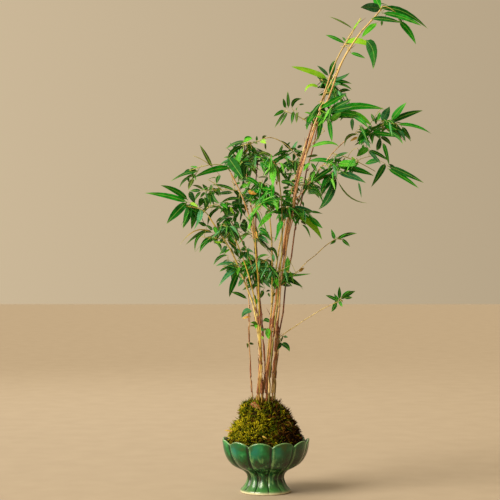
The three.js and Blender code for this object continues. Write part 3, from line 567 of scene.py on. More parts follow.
        (247.6, 343, 247.4, 348.3, 1.8, OLIVE),
    ],
}

# Where a mass is thick with small leaves, as ellipses in pixels: middle, half width, half height and count
thick_places = {
    "spray_upper_right": [(334, 91, 4, 7, 9)],
    "spray_upper_left": [(328, 84, 5, 6, 7)],
    "spray_shoulder": [(338, 111, 13, 5, 16), (326, 116, 5, 5, 6)],
    "spray_shoulder_hang": [(311, 119, 5, 6, 6)],
    "spray_fan_out": [(388, 126, 10, 5, 8), (368, 131, 8, 4, 8)],
    "spray_fan_hang": [(364, 140, 5, 5, 6)],
    "spray_fan_drop": [(347, 165, 10, 4, 8), (334, 162, 4, 6, 6), (316, 172, 7, 7, 6)],
    "spray_star": [(296, 158, 5, 9, 10), (288, 147, 7, 5, 6), (290, 171, 7, 5, 8), (290, 187, 7, 6, 11)],
    "spray_bright": [(265, 160, 6, 4, 9), (270, 172, 5, 8, 7), (272, 195, 4, 5, 6)],
    "spray_heart_left": [(281, 207, 6, 8, 12), (286, 197, 6, 4, 6)],
    "spray_heart_right": [(292, 211, 8, 5, 11), (305, 214, 7, 4, 6)],
    "spray_crest": [(249, 164, 6, 4, 7)],
    "spray_core": [(264, 197, 9, 6, 16), (256, 197, 5, 5, 7)],
    "spray_core_left": [(245, 184, 5, 5, 7), (240, 207, 6, 6, 9), (230, 211, 7, 5, 6)],
    "spray_wing": [(193, 172, 5, 4, 6)],
    "spray_lace": [(206, 196, 7, 5, 6), (213, 189, 8, 4, 5), (225, 204, 7, 4, 5)],
    "spray_left_upper": [(227, 220, 7, 5, 8), (232, 236, 7, 6, 12), (225, 207, 6, 4, 5), (231, 248, 7, 4, 7)],
    "spray_left_hang": [(217, 231, 4, 5, 6)],
    "spray_left_inner": [(245, 251, 4, 4, 6)],
    "spray_low_outer": [(233, 266, 5, 3, 7)],
    "spray_low_left": [(251, 266, 8, 5, 14), (252, 259, 6, 4, 6)],
    "spray_low_front": [(263, 278, 6, 7, 7), (252, 284, 4, 6, 4)],
    "spray_low_heart": [(267, 268, 6, 4, 8)],
    "spray_low_right": [(284, 281, 3, 5, 6)],
}

# Husks and a straw that have fallen on the ball, in the form of front_leaves
fallen = [
    (251.5, 402.5, 257.5, 409, 5, HUSK), (255.5, 404.5, 261, 411, 3.6, HUSK),
    (234, 431, 224.4, 430.4, 1.8, DRY),
    (277, 401, 281.5, 407.5, 1.6, HUSK), (244, 403.5, 240.5, 411, 1.4, DRY), (268, 398, 273, 404, 2.2, HUSK),
    (288, 421, 292, 428, 1.6, HUSK), (262, 436, 268, 439, 1.4, DRY),
]

# Masses that the photograph doesn't show, with the tones that their leaves take
hidden_sprays = {
    "spray_back_left": (DEEP, MID, MID, GREY), "spray_back_right": (MID, MID, DEEP, BRIGHT),
    "spray_back_low": (DEEP, MID, OLIVE), "spray_front": (MID, MID, BRIGHT, DEEP),
    "spray_low_back": (DEEP, MID, MID),
}


def unit(vectors):
    """Vectors at length one, one or many at a time."""
    return vectors / np.maximum(np.linalg.norm(vectors, axis=-1, keepdims=True), 1e-9)


def hump(value, middle, spread):
    """A smooth hump that is 1 at its middle and fades out on both sides."""
    return np.exp(-(((value - middle) / spread) ** 2))


def random_stream(start):
    """The source's repeatable stream of numbers from 0 to 1, which counts in 32 bits."""
    whole = 0xFFFFFFFF
    state = start & whole

    def draw():
        nonlocal state
        state = (state + 0x6D2B79F5) & whole
        mixed = ((state ^ (state >> 15)) * (state | 1)) & whole
        mixed ^= (mixed + ((mixed ^ (mixed >> 7)) * (mixed | 61))) & whole
        return ((mixed ^ (mixed >> 14)) & whole) / (whole + 1)

    return draw


def pick(tones, draw):
    return tones[int(draw.integers(len(tones)))]


# Curves with three or four controls
def bezier(controls, t):
    t = np.atleast_1d(np.asarray(t, float))[:, None]
    rows = [np.repeat(np.asarray(c, float)[None], len(t), 0) for c in controls]
    while len(rows) > 1:
        rows = [a + (b - a) * t for a, b in zip(rows, rows[1:])]
    return rows[0]


def slope(controls, t):
    steps = [np.subtract(b, a) for a, b in zip(controls, controls[1:])]
    return unit(bezier(steps, t))


def run_along(points):
    """How far along a line of points each of them lies."""
    return np.concatenate([[0], np.cumsum(np.linalg.norm(np.diff(points, axis=0), axis=1))])


def evenly(controls, places):
    """The curve's values at the given parts of its length."""
    t = np.linspace(0, 1, 201)
    run = run_along(bezier(controls, t))
    return np.interp(np.atleast_1d(places) * run[-1], run, t)


def length_of(controls):
    return np.linalg.norm(np.diff(bezier(controls, np.linspace(0, 1, 60)), axis=0), axis=1).sum()


def turned(vector, axis, angle):
    """A vector turned about an axis of length one."""
    across = np.cross(axis, vector)
    along = axis * (axis @ vector)
    return vector * math.cos(angle) + across * math.sin(angle) + along * (1 - math.cos(angle))


# Limbs by the source's rule
limbs = {}


def add_limb(name, controls, girth, taper, bow=(0, 0, 1)):
    limbs[name] = {"controls": controls, "foot": girth / 2, "tip": girth / 2 * taper, "bow": bow}


def axis_at(limb, t):
    """Points on a limb's axis, with its sway."""
    points = bezier(limbs[limb]["controls"], t)
    height, shift, spread = limbs[limb]["bow"]
    points[:, 0] += shift * hump(points[:, 2], height, spread)
    return points


def radius_at(limb, along, run=1):
    """A limb's radius some way along its run."""
    part = limbs[limb]
    return part["foot"] + (part["tip"] - part["foot"]) * along / run


def cane_controls(foot, tip, lean):
    start = np.array([*foot, foot_height], float)
    end = np.array(tip, float)
    third = (end[2] - start[2]) / 3
    away = (end[1] - start[1]) / (end[2] - start[2])
    low = start + np.array([lean[0], away * 0.5, 1]) * third
    high = end - np.array([lean[1], away, 1]) * third
    return [start, low, high, end]


def place_on(limb, height=None):
    """The place on a limb's axis at a height, or at its tip: the point, the way on, the radius and whether it
    is the tip."""
    controls = limbs[limb]["controls"]
    at = 1
    if height is not None:
        t = np.linspace(0, 1, 400)
        at = np.interp(height, bezier(controls, t)[:, 2], t)
    return axis_at(limb, at)[0], slope(controls, at)[0], radius_at(limb, at), height is None


def branch_start(place, aim):
    """Where a side limb starts, inside the limb that carries it, and the way it sets out."""
    point, along, radius, at_tip = place
    if at_tip:
        return point, along
    outward = unit(aim - along * (aim @ along))
    return point + outward * 0.4 * radius, unit(outward + along * 0.5)


def bough_controls(limb, height, tip, bow):
    place = place_on(limb, height)
    end = np.array(tip, float)
    aim = end - place[0]
    start, way = branch_start(place, unit(aim))
    reach = np.linalg.norm(aim)
    return [start, start + way * reach * 0.12, start + (end - start) * 0.6 + UP * bow * 1.6, end]


# Sprays by the source's rule
def heading(turn, rise):
    around, climb = math.radians(turn), math.radians(rise)
    return np.array([math.cos(around) * math.cos(climb), math.sin(around) * math.cos(climb), math.sin(climb)])


def rank_side(plane, axis, i):
    return np.cross(plane, axis) * (1 if i % 2 == 0 else -1)


def twig_curve(root, course, span, rise, fall):
    """A twig that rises in its middle and hangs at its tip, each by a part of its span."""
    return [root, root + course * 0.5 * span + UP * rise * span, root + course * span - UP * fall * span]


def side_twig(shoot, plane, place, i, span):
    t = evenly(shoot, place)
    axis = slope(shoot, t)[0]
    course = unit(axis * 0.75 + rank_side(plane, axis, i) * 0.65)
    return twig_curve(bezier(shoot, t)[0], course, span, 0.06, 0.08)


def leaves_on(shoot, bare, count, plane, sizes, draw):
    """The leaves of one shoot: wide open at its foot, closing towards its tip, the last one straight on."""
    leaves = []
    for i in range(count):
        place = bare + (0.98 - bare) * i / max(count - 1, 1)
        t = evenly(shoot, place)
        axis = slope(shoot, t)[0]
        side = rank_side(plane, axis, i)
        open_angle = sizes["spread"] + (tip_angle - sizes["spread"]) * place
        angle = math.radians(4 if i == count - 1 else open_angle + 14 * (draw() - 0.5))
        tilt = 0.5 * (draw() - 0.5)
        way = axis * math.cos(angle) + side * math.sin(angle) + plane * tilt
        way = unit(way - UP * sizes.get("droop", leaf_droop) * (0.4 + draw()))
        length = sizes["leaf"] * (0.78 + 0.2 * math.sin(math.pi * place) + 0.24 * draw())
        normal = plane + side * 0.4 * (draw() - 0.5)
        normal = unit(normal - way * (normal @ way))
        leaves.append((bezier(shoot, t)[0], way, normal, length))
    return leaves


def grow_spray(sizes, order):
    """The stem, the side twigs and the leaves of one mass, by the source's seeded rule."""
    draw = random_stream(seed + 31 * order)
    aim = heading(sizes["turn"], sizes["rise"])
    start, way = branch_start(place_on(sizes["limb"], sizes.get("height")), aim)
    reach = sizes["reach"]
    twigs = sizes.get("twigs", 0)
    stem = [start, start + way * 0.4 * reach, start + aim * reach]
    plane = turned(unit(UP - aim * (UP @ aim)), aim, math.radians(sizes["roll"]))
    shoots = [(stem, twig_radius, 0.3 if twigs else 0.12)]
    for i in range(twigs):
        span = reach * (side_length + side_variety * draw())
        place = 0.3 + 0.45 * (i + 0.5) / twigs
        shoots.append((side_twig(stem, plane, place, i, span), side_girth * twig_radius, 0.12))
    per_twig = math.floor(sizes["leaves"] / (twigs + 1.6))
    leaves = []
    for i, (shoot, _, bare) in enumerate(shoots):
        count = sizes["leaves"] - per_twig * twigs if i == 0 else per_twig
        leaves += leaves_on(shoot, bare, count, plane, sizes, draw)
    middle = (stem[0] + stem[-1]) / 2
    space = reach / 2 + 1.3 * sizes["leaf"]
    return {"shoots": shoots, "leaves": leaves, "plane": plane, "middle": middle, "space": space}


# Gathered twigs and leaves, which are joined by kind at the end
twig_rows = []
leaf_rows = []


def add_twig(controls, thick, thin):
    twig_rows.append((controls, thick, thin))


def add_leaf(root, middle, tip, normal, width, tone):
    """One blade that runs from root to tip through middle, in millimetres."""
    leaf_rows.append((root, 2 * np.asarray(middle) - (np.asarray(root) + tip) / 2, tip, normal, width, tone))


def add_rule_leaf(leaf, tone, draw, bow=0.12):
    """A leaf of the rule, which bows up along its middle by up to a part of its length."""
    root, way, normal, length = leaf
    tip = root + way * length
    level = math.hypot(way[0], way[1])
    middle = (root + tip) / 2 + UP * length * bow * level * draw.uniform(0.2, 1)
    width = leaf_width * length * draw.uniform(0.72, 1.0)
    add_leaf(root, middle, tip, normal, width, tone)


# The photograph's pixels and the places behind them
def at_pixel(x, y, depth):
    scale = pixel_size * (camera_distance + depth) / camera_distance
    right, up = (x - image_middle) * scale, (image_middle - y) * scale
    return np.array([camera_x + right, depth, camera_height + up])


def to_pixel(points):
    scale = camera_distance / (camera_distance + points[..., 1]) / pixel_size
    x = image_middle + (points[..., 0] - camera_x) * scale
    y = image_middle - (points[..., 2] - camera_height) * scale
    return np.stack([x, y], -1)


def front_leaf(root, row, draw):
    """A leaf seen in the photograph, from its root in space. The broader it looks for its length, the more it
    points to the viewer or away. A bright leaf comes forward and turns its face to the light."""
    x, y, tip_x, tip_y, width, tone, *middle = row
    shining = tone in (LIME, BRIGHT)
    seen = math.hypot(tip_x - x, tip_y - y) * pixel_size
    wide = min(width * pixel_size * twist_loss, widest_seen * seen)
    full = min(max(seen, wide / broadest), longest_leaf)
    least_lean = abs(draw.normal(0, lean_variety)) * min(seen, lean_length)
    lean = max(math.sqrt(max(full ** 2 - seen ** 2, 0)), least_lean)
    toward = draw.random() >= 0.5 or shining
    depth = root[1] + (-lean if toward else lean)
    tip = at_pixel(tip_x, tip_y, depth)
    if middle:
        centre = at_pixel(*middle, (root[1] + depth) / 2)
    else:
        centre = (root + tip) / 2 + UP * 0.05 * (abs(tip_x - x) * pixel_size)
    way = unit(tip - root)
    normal = unit(np.cross(np.array([-way[2], 0, way[0]]), way))
    if normal @ upper_side < 0:
        normal = -normal
    tilt = np.clip(draw.normal(0, tilt_variety), -most_tilt, most_tilt)
    if shining:
        gain = turned(normal, way, bright_tilt) @ key_light - normal @ key_light
        tilt = math.copysign(max(abs(tilt), bright_tilt), gain)
    blade_width = min(wide / math.cos(tilt), widest_blade * full)
    add_leaf(root, centre, tip, turned(normal, way, tilt), blade_width, tone)


def hang_front_leaves(rows, points, radii, draw):
    """Joins the roots of the leaves seen in the photograph to their shoots by fine twigs, nearest first."""
    carried = list(points)
    girth = list(radii)
    waiting = list(rows)
    while waiting:
        seen = to_pixel(np.array(carried))
        roots = np.array([row[:2] for row in waiting])
        gaps = np.linalg.norm(seen[:, None] - roots[None], axis=2)
        near, which = np.unravel_index(gaps.argmin(), gaps.shape)
        row = waiting.pop(which)
        anchor = carried[near]
        gap = gaps[near, which] * pixel_size
        root = at_pixel(row[0], row[1], anchor[1] + draw.uniform(-0.5, 0.5) * gap)
        if gap > least_twig:
            bend = (anchor + root) / 2 + UP * 0.08 * gap + draw.normal(0, 0.04, 3) * gap
            thick = min(girth[near], fine_twig_radius * (1.25 if gap > long_twig else 1))
            add_twig([anchor, bend, root], thick, thick * fine_twig_taper)
            for part in (0.4, 0.7, 1):
                carried.append(bezier([anchor, bend, root], part)[0])
                girth.append(thick * fine_twig_taper)
        front_leaf(root, row, draw)


def leafy_spots():
    """Places in pixels that the photograph shows as foliage, each with a radius: all along each leaf, and in
    the thick places."""
    spots = []
    for row in (row for rows in front_leaves.values() for row in rows):
        root, tip = np.array(row[:2]), np.array(row[2:4])
        bend = 2 * np.array(row[6:]) - (root + tip) / 2 if len(row) > 6 else (root + tip) / 2
        for point in bezier([root, bend, tip], np.linspace(0, 1, 8)):
            spots.append((*point, row[4] / 2 + spot_margin))
    for x, y, half_width, half_height, _ in (place for places in thick_places.values() for place in places):
        for part in (-0.6, 0, 0.6):
            spots.append((x + part * half_width, y, half_height))
    return np.array(spots)


def is_covered(leaf, spots):
    """Whether a leaf of the rule, seen from the camera, lies where the photograph shows foliage."""
    root, way, _, length = leaf
    seen = to_pixel(np.array([root + way * length * part for part in (0.3, 0.65, 0.95)]))
    gaps = np.linalg.norm(seen[:, None] - spots[None, :, :2], axis=2)
    return bool((gaps < spots[:, 2]).any(axis=1).all())


def add_leafy_twig(grown, sizes, twig, plane, tones, spots, draw):
    """A finer twig with the leaves of the rule that stay in the mass's own space and out of the open gaps."""
    length = min(sizes["leaf"], longest_finer_leaf) * finer_leaf_part
    small = dict(sizes, leaf=length, spread=finer_spread, droop=finer_droop)
    kept = []
    for leaf in leaves_on(twig, 0.2, finer_leaves, plane, small, draw.random):
        tip = leaf[0] + leaf[1] * leaf[3]
        if np.linalg.norm(tip - grown["middle"]) < grown["space"] and is_covered(leaf, spots):
            kept.append(leaf)
    for leaf in kept:
        add_rule_leaf(leaf, pick(tones, draw), draw, 0.2)
    if kept:
        add_twig(twig, fine_twig_radius * 1.1, fine_twig_radius * 0.7)


def add_depth_leaves(grown, sizes, tones, spots, draw, thick):
    """Finer twigs that point away, and in a thick mass to the viewer too, so that its sides are full."""
    stem = grown["shoots"][0][0]
    for i in range(depth_twigs):
        place = draw.uniform(0.15, 0.98)
        root = bezier(stem, evenly(stem, place))[0]
        away = -1 if thick and i % 3 == 0 else 1
        course = unit(np.array([draw.normal(0, 0.3), away, draw.uniform(-0.1, 0.4)]))
        span = max(sizes["reach"], least_depth) * draw.uniform(0.25, 0.8)
        twig = twig_curve(root, course, span, 0.12, 0.1)
        plane = unit(np.cross(course, np.array([away, 0.0, draw.normal(0, 0.4)])))
        add_leafy_twig(grown, sizes, twig, plane, tones, spots, draw)


def add_finer_twigs(grown, sizes, tones, spots, draw):
    """The source's rule carried one step on, with finer side twigs and smaller leaves."""
    for shoot, _, bare in grown["shoots"]:
        for i in range(finer_twigs):
            place = bare + (0.95 - bare) * (i + 0.5) / finer_twigs
            plane = turned(grown["plane"], slope(shoot, evenly(shoot, place))[0], draw.uniform(-1.2, 1.2))
            twig = side_twig(shoot, plane, place, i, sizes["reach"] * draw.uniform(0.3, 0.5))
            add_leafy_twig(grown, sizes, twig, plane, tones, spots, draw)


def small_leaves(place, tones, draw):
    """Rows for the small leaves of one thick place, most of them hanging, in the form of front_leaves."""
    x, y, half_width, half_height, count = place
    rows = []
    for _ in range(count):
        turn = draw.uniform(0, 2 * math.pi)
        out = math.sqrt(draw.random())
        root_x = x + out * half_width * math.cos(turn)
        root_y = y + out * half_height * math.sin(turn)
        length = draw.uniform(*small_leaf_pixels)
        fall =math.radians(draw.choice([draw.uniform(20, 160), draw.uniform(-20, 200)], p=[0.65, 0.35]))
        tip_x = root_x + length * math.cos(fall)
        tip_y = root_y + length * math.sin(fall)
        bow = draw.uniform(0.05, 0.18) * length * abs(math.cos(fall))
        tone = pick(tones, draw)
        middle = (root_x + tip_x) / 2, (root_y + tip_y) / 2 - bow
        rows.append((root_x, root_y, tip_x, tip_y, length * draw.uniform(0.16, 0.24), tone, *middle))
    return rows


def limb_samples(name):
    """Points along a limb's axis, a few millimetres apart, and the radius at each."""
    controls = limbs[name]["controls"]
    places = np.linspace(0, 1, max(int(length_of(controls) / sample_gap), 3))
    return axis_at(name, evenly(controls, places)), radius_at(name, places)


def fill_hidden_spray(grown, sizes, tones, spots, draw):
    """The leaves of a mass that the photograph doesn't show, all by the rule."""
    for leaf in grown["leaves"]:
        if is_covered(leaf, spots):
            add_rule_leaf(leaf, pick(tones, draw), draw)
    add_finer_twigs(grown, sizes, tones, spots, draw)
    add_depth_leaves(grown, sizes, tones, spots, draw, True)


def fill_front_spray(name, grown, sizes, spots, draw):
    """The leaves of a mass that the photograph shows: its plainest ones, its small ones and those behind."""
    rows = front_leaves[name]
    places = np.linspace(0, 1, shoot_samples)
    points = np.concatenate([bezier(shoot, evenly(shoot, places)) for shoot, _, _ in grown["shoots"]])
    radii = np.concatenate([radius * (1 + (twig_taper - 1) * places) for _, radius, _ in grown["shoots"]])
    tones = [row[5] for row in rows if row[5] not in (LIME, DRY, OLIVE)]
    small = [row for place in thick_places.get(name, []) for row in small_leaves(place, tones, draw)]
    hang_front_leaves(rows + small, points, radii, draw)
    add_depth_leaves(grown, sizes, tones, spots - [0, 0, spot_margin], draw, name in thick_places)


def grow_foliage():
    draw = np.random.default_rng(seed)
    spots = leafy_spots()
    for order, (name, sizes) in enumerate(sprays.items()):
        grown = grow_spray(sizes, order)
        for shoot, radius, _ in grown["shoots"]:
            add_twig(shoot, radius, radius * twig_taper)
        if name in hidden_sprays:
            fill_hidden_spray(grown, sizes, hidden_sprays[name], spots, draw)
        else:
            fill_front_spray(name, grown, sizes, spots, draw)
    samples = [limb_samples(cane) for cane in canes]
    points = np.concatenate([points for points, _ in samples])
    radii = np.concatenate([radii for _, radii in samples])
    low = points[:, 2] < low_leaf_height
    hang_front_leaves(front_leaves["canes"], points[low], radii[low], draw)


def lay_fallen():
    """Lays the fallen husks on the near side of the ball, just clear of the moss."""
    heights = [row[1] for row in ball_outline]
    for x, y, tip_x, tip_y, width, tone in fallen:
        ends = []
        for end_x, end_y in ((x, y), (tip_x, tip_y)):
            flat = at_pixel(end_x, end_y, 0)
            radius = np.interp(flat[2], heights, [row[0] for row in ball_outline])
            depth = -math.sqrt(max(radius ** 2 - flat[0] ** 2, 0)) - husk_clearance
            ends.append(at_pixel(end_x, end_y, depth))
        root, tip = ends
        out = unit(root - np.array([0, 0, ball_middle]))
        add_leaf(root, (root + tip) / 2 + out * husk_clearance, tip, out, width * pixel_size, tone)


# Mesh making
def make_piece(name, points, faces, materials, slots=None):
    """A joined mesh from arrays: points in millimetres, faces as rows of corners."""
    mesh = bpy.data.meshes.new(name)
    mesh.from_pydata((np.asarray(points) * MM).tolist(), [], [list(face) for face in faces])
    for material in materials:
        mesh.materials.append(material)
    if slots is not None:
        mesh.polygons.foreach_set("material_index", np.asarray(slots, np.int32))
    mesh.polygons.foreach_set("use_smooth", np.ones(len(mesh.polygons), bool))
    mesh.update()
    piece = bpy.data.objects.new(name, mesh)
    bpy.context.scene.collection.objects.link(piece)
    return piece


def settle(piece, slot_name, *nodes):
    """The piece rides on the root and stands for its nodes, which it hides. slot_name is not used."""
    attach(piece, "root")
    if nodes:
        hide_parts(*nodes)


def add_uv(piece, corner_uv):
    layer = piece.data.uv_layers.new(name="UVMap")
    layer.data.foreach_set("uv", np.asarray(corner_uv, np.float32).ravel())


def add_attributes(piece, values_by_name):
    """Values at the points of a piece, for its material."""
    for name, values in values_by_name.items():
        attribute = piece.data.attributes.new(name, "FLOAT", "POINT")
        attribute.data.foreach_set("value", np.asarray(values, np.float32).ravel())


def frames_along(centres):
    """Two directions across each station of a line of points."""
    ahead = unit(np.gradient(centres, axis=0))
    axis = np.eye(3)[np.abs(ahead.mean(0)).argmin()]
    across = unit(np.cross(ahead, axis))
    return across, np.cross(ahead, across)


def outward(across, over, turns):
    """The ways out from each station of a line, at angles round it."""
    return across[:, None] * np.cos(turns)[..., None] + over[:, None] * np.sin(turns)[..., None]


def repeated(faces, stride, count):
    """The faces of many alike parts in a row, each of so many points."""
    return [[v + i * stride for v in face] for i in range(count) for face in faces]


def round_points(radius, height, angles, lean=0):
    """Points round an upright axis that may lean to one side."""
    x, y = radius * np.cos(angles) + lean, radius * np.sin(angles)
    return np.stack([x, y, height * np.ones_like(angles)], -1)


def round_faces(rows, columns):
    """The faces of a closed round skin of so many rows and columns of points, with one over each end."""
    index = np.arange(rows * columns).reshape(rows, columns)
    beside = np.roll(index, -1, 1)
    quads = np.stack([index[:-1], beside[:-1], beside[1:], index[1:]], -1).reshape(-1, 4)
    return quads.tolist() + [index[0][::-1].tolist(), index[-1].tolist()]


def tube(centres, radii, sides):
    """Points and faces of a closed tube."""
    across, over = frames_along(centres)
    turn = np.linspace(0, 2 * math.pi, sides, endpoint=False)
    ring = outward(across, over, turn)
    points = (centres[:, None] + ring * np.asarray(radii)[:, None, None]).reshape(-1, 3)
    return points, round_faces(len(centres), sides)


def join(parts):
    """Joins many (points, faces) pairs into one."""
    points, faces = [], []
    first = 0
    for part_points, part_faces in parts:
        points.append(part_points)
        faces += [[v + first for v in face] for face in part_faces]
        first += len(part_points)
    return np.concatenate(points), faces


def make_twigs(material):
    parts = []
    places = np.linspace(0, 1, twig_stations)
    for controls, thick, thin in twig_rows:
        parts.append(tube(bezier(controls, places), thick + (thin - thick) * places, twig_sides))
    piece = make_piece("twigs", *join(parts), [material])
    settle(piece, "cane", *sprays)


# A leaf's outline: the place of each station and its half width as a part of the widest
stations = np.array([0, 0.05, 0.13, 0.25, 0.4, 0.56, 0.71, 0.84, 0.94])
half_widths = np.array([0.1, 0.14, 0.68, 0.94, 1.0, 0.91, 0.71, 0.43, 0.17])


def blade_faces():
    """The faces of one blade, four round each station and its tip, and which are on top, 0, or under, 1."""
    last = len(stations) - 1
    faces = [[3, 2, 1, 0]]
    slots = [0]
    for j in range(len(stations)):
        for c in range(4):
            a, b = 4 * j + c, 4 * j + (c + 1) % 4
            faces.append([a, b, b + 4, a + 4] if j < last else [a, b, 4 * len(stations)])
            slots.append(0 if c < 2 else 1)
    return faces, slots


def leaf_blades(rows, draw):
    """Points, faces, material slots and corner UVs of many folded blades, each closed and thin."""
    n = len(rows)
    root, bend, tip, normal = (np.array([row[i] for row in rows], float) for i in range(4))
    width = np.array([row[4] for row in rows])
    t = stations[None, :, None]
    line = (1 - t) ** 2 * root[:, None] + 2 * t * (1 - t) * bend[:, None] + t ** 2 * tip[:, None]
    ahead = unit(2 * (1 - t) * (bend - root)[:, None] + 2 * t * (tip - bend)[:, None])
    length = np.linalg.norm(tip - root, axis=1)
    wave = draw.normal(0, 0.16, (n, 1)) * np.sin(stations * 5.5 + draw.uniform(0, 6, (n, 1)))
    twist = draw.normal(0, 0.35, (n, 1)) * stations + wave
    face_way = unit(normal[:, None] - ahead * (ahead * normal[:, None]).sum(-1, keepdims=True))
    side = np.cross(ahead, face_way)
    turn_cos, turn_sin = np.cos(twist)[..., None], np.sin(twist)[..., None]
    side, face_way = side * turn_cos + face_way * turn_sin, face_way * turn_cos - side * turn_sin
    half = (width[:, None] / 2 * half_widths)[..., None]
    fold = draw.uniform(0.5, 1.5, (n, 1, 1)) * leaf_fold
    thick = np.minimum(leaf_thickness, 0.3 * half + 0.06)
    left = line - side * half + face_way * fold * half
    right = line + side * half + face_way * fold * half
    rings = np.stack([left, line + face_way * thick / 2, right, line - face_way * thick / 2], 2)
    points = np.concatenate([rings.reshape(n, -1, 3), tip[:, None]], 1)
    one, slots = blade_faces()
    across = np.append(np.tile([-1.0, 0.0, 1.0, 0.0], len(stations)) * np.repeat(half_widths, 4), 0)
    along = np.append(np.repeat(stations, 4), 1)
    uv = np.stack([across[None] * width[:, None] / 2, along[None] * length[:, None]], -1)
    corners = np.array([v for face in one for v in face])
    faces = repeated(one, points.shape[1], n)
    return points.reshape(-1, 3), faces, np.tile(slots, n), uv[:, corners].reshape(-1, 2)


def make_leaves(materials):
    draw = np.random.default_rng(seed + 1)
    for tone, name in enumerate(leaf_colours):
        rows = [row for row in leaf_rows if row[5] == tone]
        points, faces, slots, corner_uv = leaf_blades(rows, draw)
        piece = make_piece(f"leaves_{name}", points, faces, materials[name], slots)
        add_uv(piece, corner_uv)
        piece.data.set_sharp_from_angle(angle=sharp_fold)
        settle(piece, "leaf", *sprays)


# Canes
def cane_stations(run, nodes):
    """Places along a limb in millimetres, close together at each node."""
    plain = np.arange(0, run, station_gap)
    close = np.concatenate([n + node_stations for n in nodes])
    both = np.sort(np.concatenate([plain, close, [run]]))
    both = both[(both >= 0) & (both <= run)]
    keep = np.concatenate([[True], np.diff(both) > least_gap])
    return both[keep]


def node_relief(s, nodes):
    """The scar of a sheath, the groove above it and the ridge above that, as parts of the radius."""
    relief = np.ones(len(s))
    for n in nodes:
        above = s - n
        relief += 0.16 * hump(above, 0, 0.55) + 0.12 * hump(above, 2.0, 1.0)
        relief -= 0.05 * hump(above, 0.95, 0.4)
    return relief


def node_places(run, draw, first):
    """The nodes of a limb: short lengths at the foot, longer ones above, half as long on a short limb."""
    nodes, s = [], first
    part = 0.5 if run <= short_limb else 1
    while s < run - last_node_gap:
        nodes.append(s)
        s += internode * draw.uniform(0.75, 1.2) * (0.6 + 0.4 * min(1, s / full_internode)) * part
    return np.array(nodes)


def limb_uv(faces, s, girth):
    """Corner UVs of a limb in millimetres, round it and along it."""
    uv = []
    for face in faces[:-2]:
        turns = [v % cane_sides for v in face]
        wraps = max(turns) - min(turns) > 1
        for turn, v in zip(turns, face):
            around = cane_sides if wraps and turn == 0 else turn
            uv.append((around / cane_sides * girth, s[v // cane_sides]))
    return uv + [(turn / cane_sides * girth, 0) for turn in range(cane_sides)] * 2


limb_nodes = {}


def make_limb(name, materials):
    draw = np.random.default_rng(seed + sum(map(ord, name)))
    part = limbs[name]
    run = length_of(part["controls"])
    nodes = node_places(run, draw, first_cane_node if name in canes else first_bough_node)
    s = cane_stations(run, nodes)
    centres = axis_at(name, evenly(part["controls"], s / run))
    to_side = np.where(np.arange(len(nodes)) % 2, 1, -1)
    zigzag = np.interp(s, nodes, node_zigzag * to_side * draw.uniform(0.5, 1.3, len(nodes)))
    across, over = frames_along(centres)
    swing = draw.uniform(0, math.pi)
    thin = part["foot"] / thickest_foot
    centres = centres + (across * math.cos(swing) + over * math.sin(swing)) * (zigzag * thin)[:, None]
    slender = foot_slimness + (cane_filling if name in canes else bough_filling) * s / run
    radii = radius_at(name, s, run) * slender * node_relief(s, nodes)
    radii[-1] *= blunt_end
    points, faces = tube(centres, radii, cane_sides)
    piece_name = name.replace("cane_", "culm_").replace("bough_", "branch_")
    piece = make_piece(piece_name, points, faces, [materials[skins[name]]])
    add_uv(piece, limb_uv(faces, s, 2 * math.pi * part["foot"]))
    above = nodes[None] - s[:, None]
    close = np.min(np.abs(above), axis=1)
    below = np.min(np.where(above >= 0, above, 99), axis=1)
    add_attributes(piece, {
        "near_node": np.repeat(hump(close, 0, scar_reach), cane_sides),
        "bloom": np.repeat(hump(below, 0, bloom_reach), cane_sides),
    })
    settle(piece, "cane", name)
    limb_nodes[name] = (nodes, run)


def shell(outer, inner):
    """A closed thin shell between two grids of points."""
    rows, columns = outer.shape[:2]
    index = np.arange(rows * columns).reshape(rows, columns)
    a, b, c, d = index[:-1, :-1], index[:-1, 1:], index[1:, 1:], index[1:, :-1]
    front = np.stack([a, b, c, d], -1).reshape(-1, 4)
    back = front[:, ::-1] + rows * columns
    rim = np.concatenate([index[0, :-1], index[:-1, -1], index[-1, :0:-1], index[:0:-1, 0]])
    after = np.roll(rim, -1)
    edge = np.stack([after, rim, rim + rows * columns, after + rows * columns], -1)
    points = np.concatenate([outer.reshape(-1, 3), inner.reshape(-1, 3)])
    return points, np.concatenate([front, back, edge]).tolist()


def sheath(limb, place, height, facing, flare, draw):
    """A papery sheath that clasps a limb above a node and narrows to a point that stands off."""
    controls = limbs[limb]["controls"]
    run = length_of(controls)
    up = np.linspace(0, 1, 8)
    round_it = np.linspace(-1, 1, 9)[None]
    centres = axis_at(limb, evenly(controls, np.minimum((place + up * height) / run, 1)))
    across, over = frames_along(centres)
    half_angle = sheath_wrap * (1 - up ** 1.6) + sheath_tip
    turns = facing + half_angle[:, None] * round_it
    stand = radius_at(limb, place, run) * 1.08 + 0.2 + flare * up ** 2
    curl = 1 + 0.12 * round_it ** 2 * draw.uniform(0, 2)
    ring = outward(across, over, turns)
    outer = centres[:, None] + ring * (stand[:, None] * curl)[..., None]
    inner = centres[:, None] + ring * (stand[:, None] * curl - sheath_thickness)[..., None]
    return shell(outer, inner)


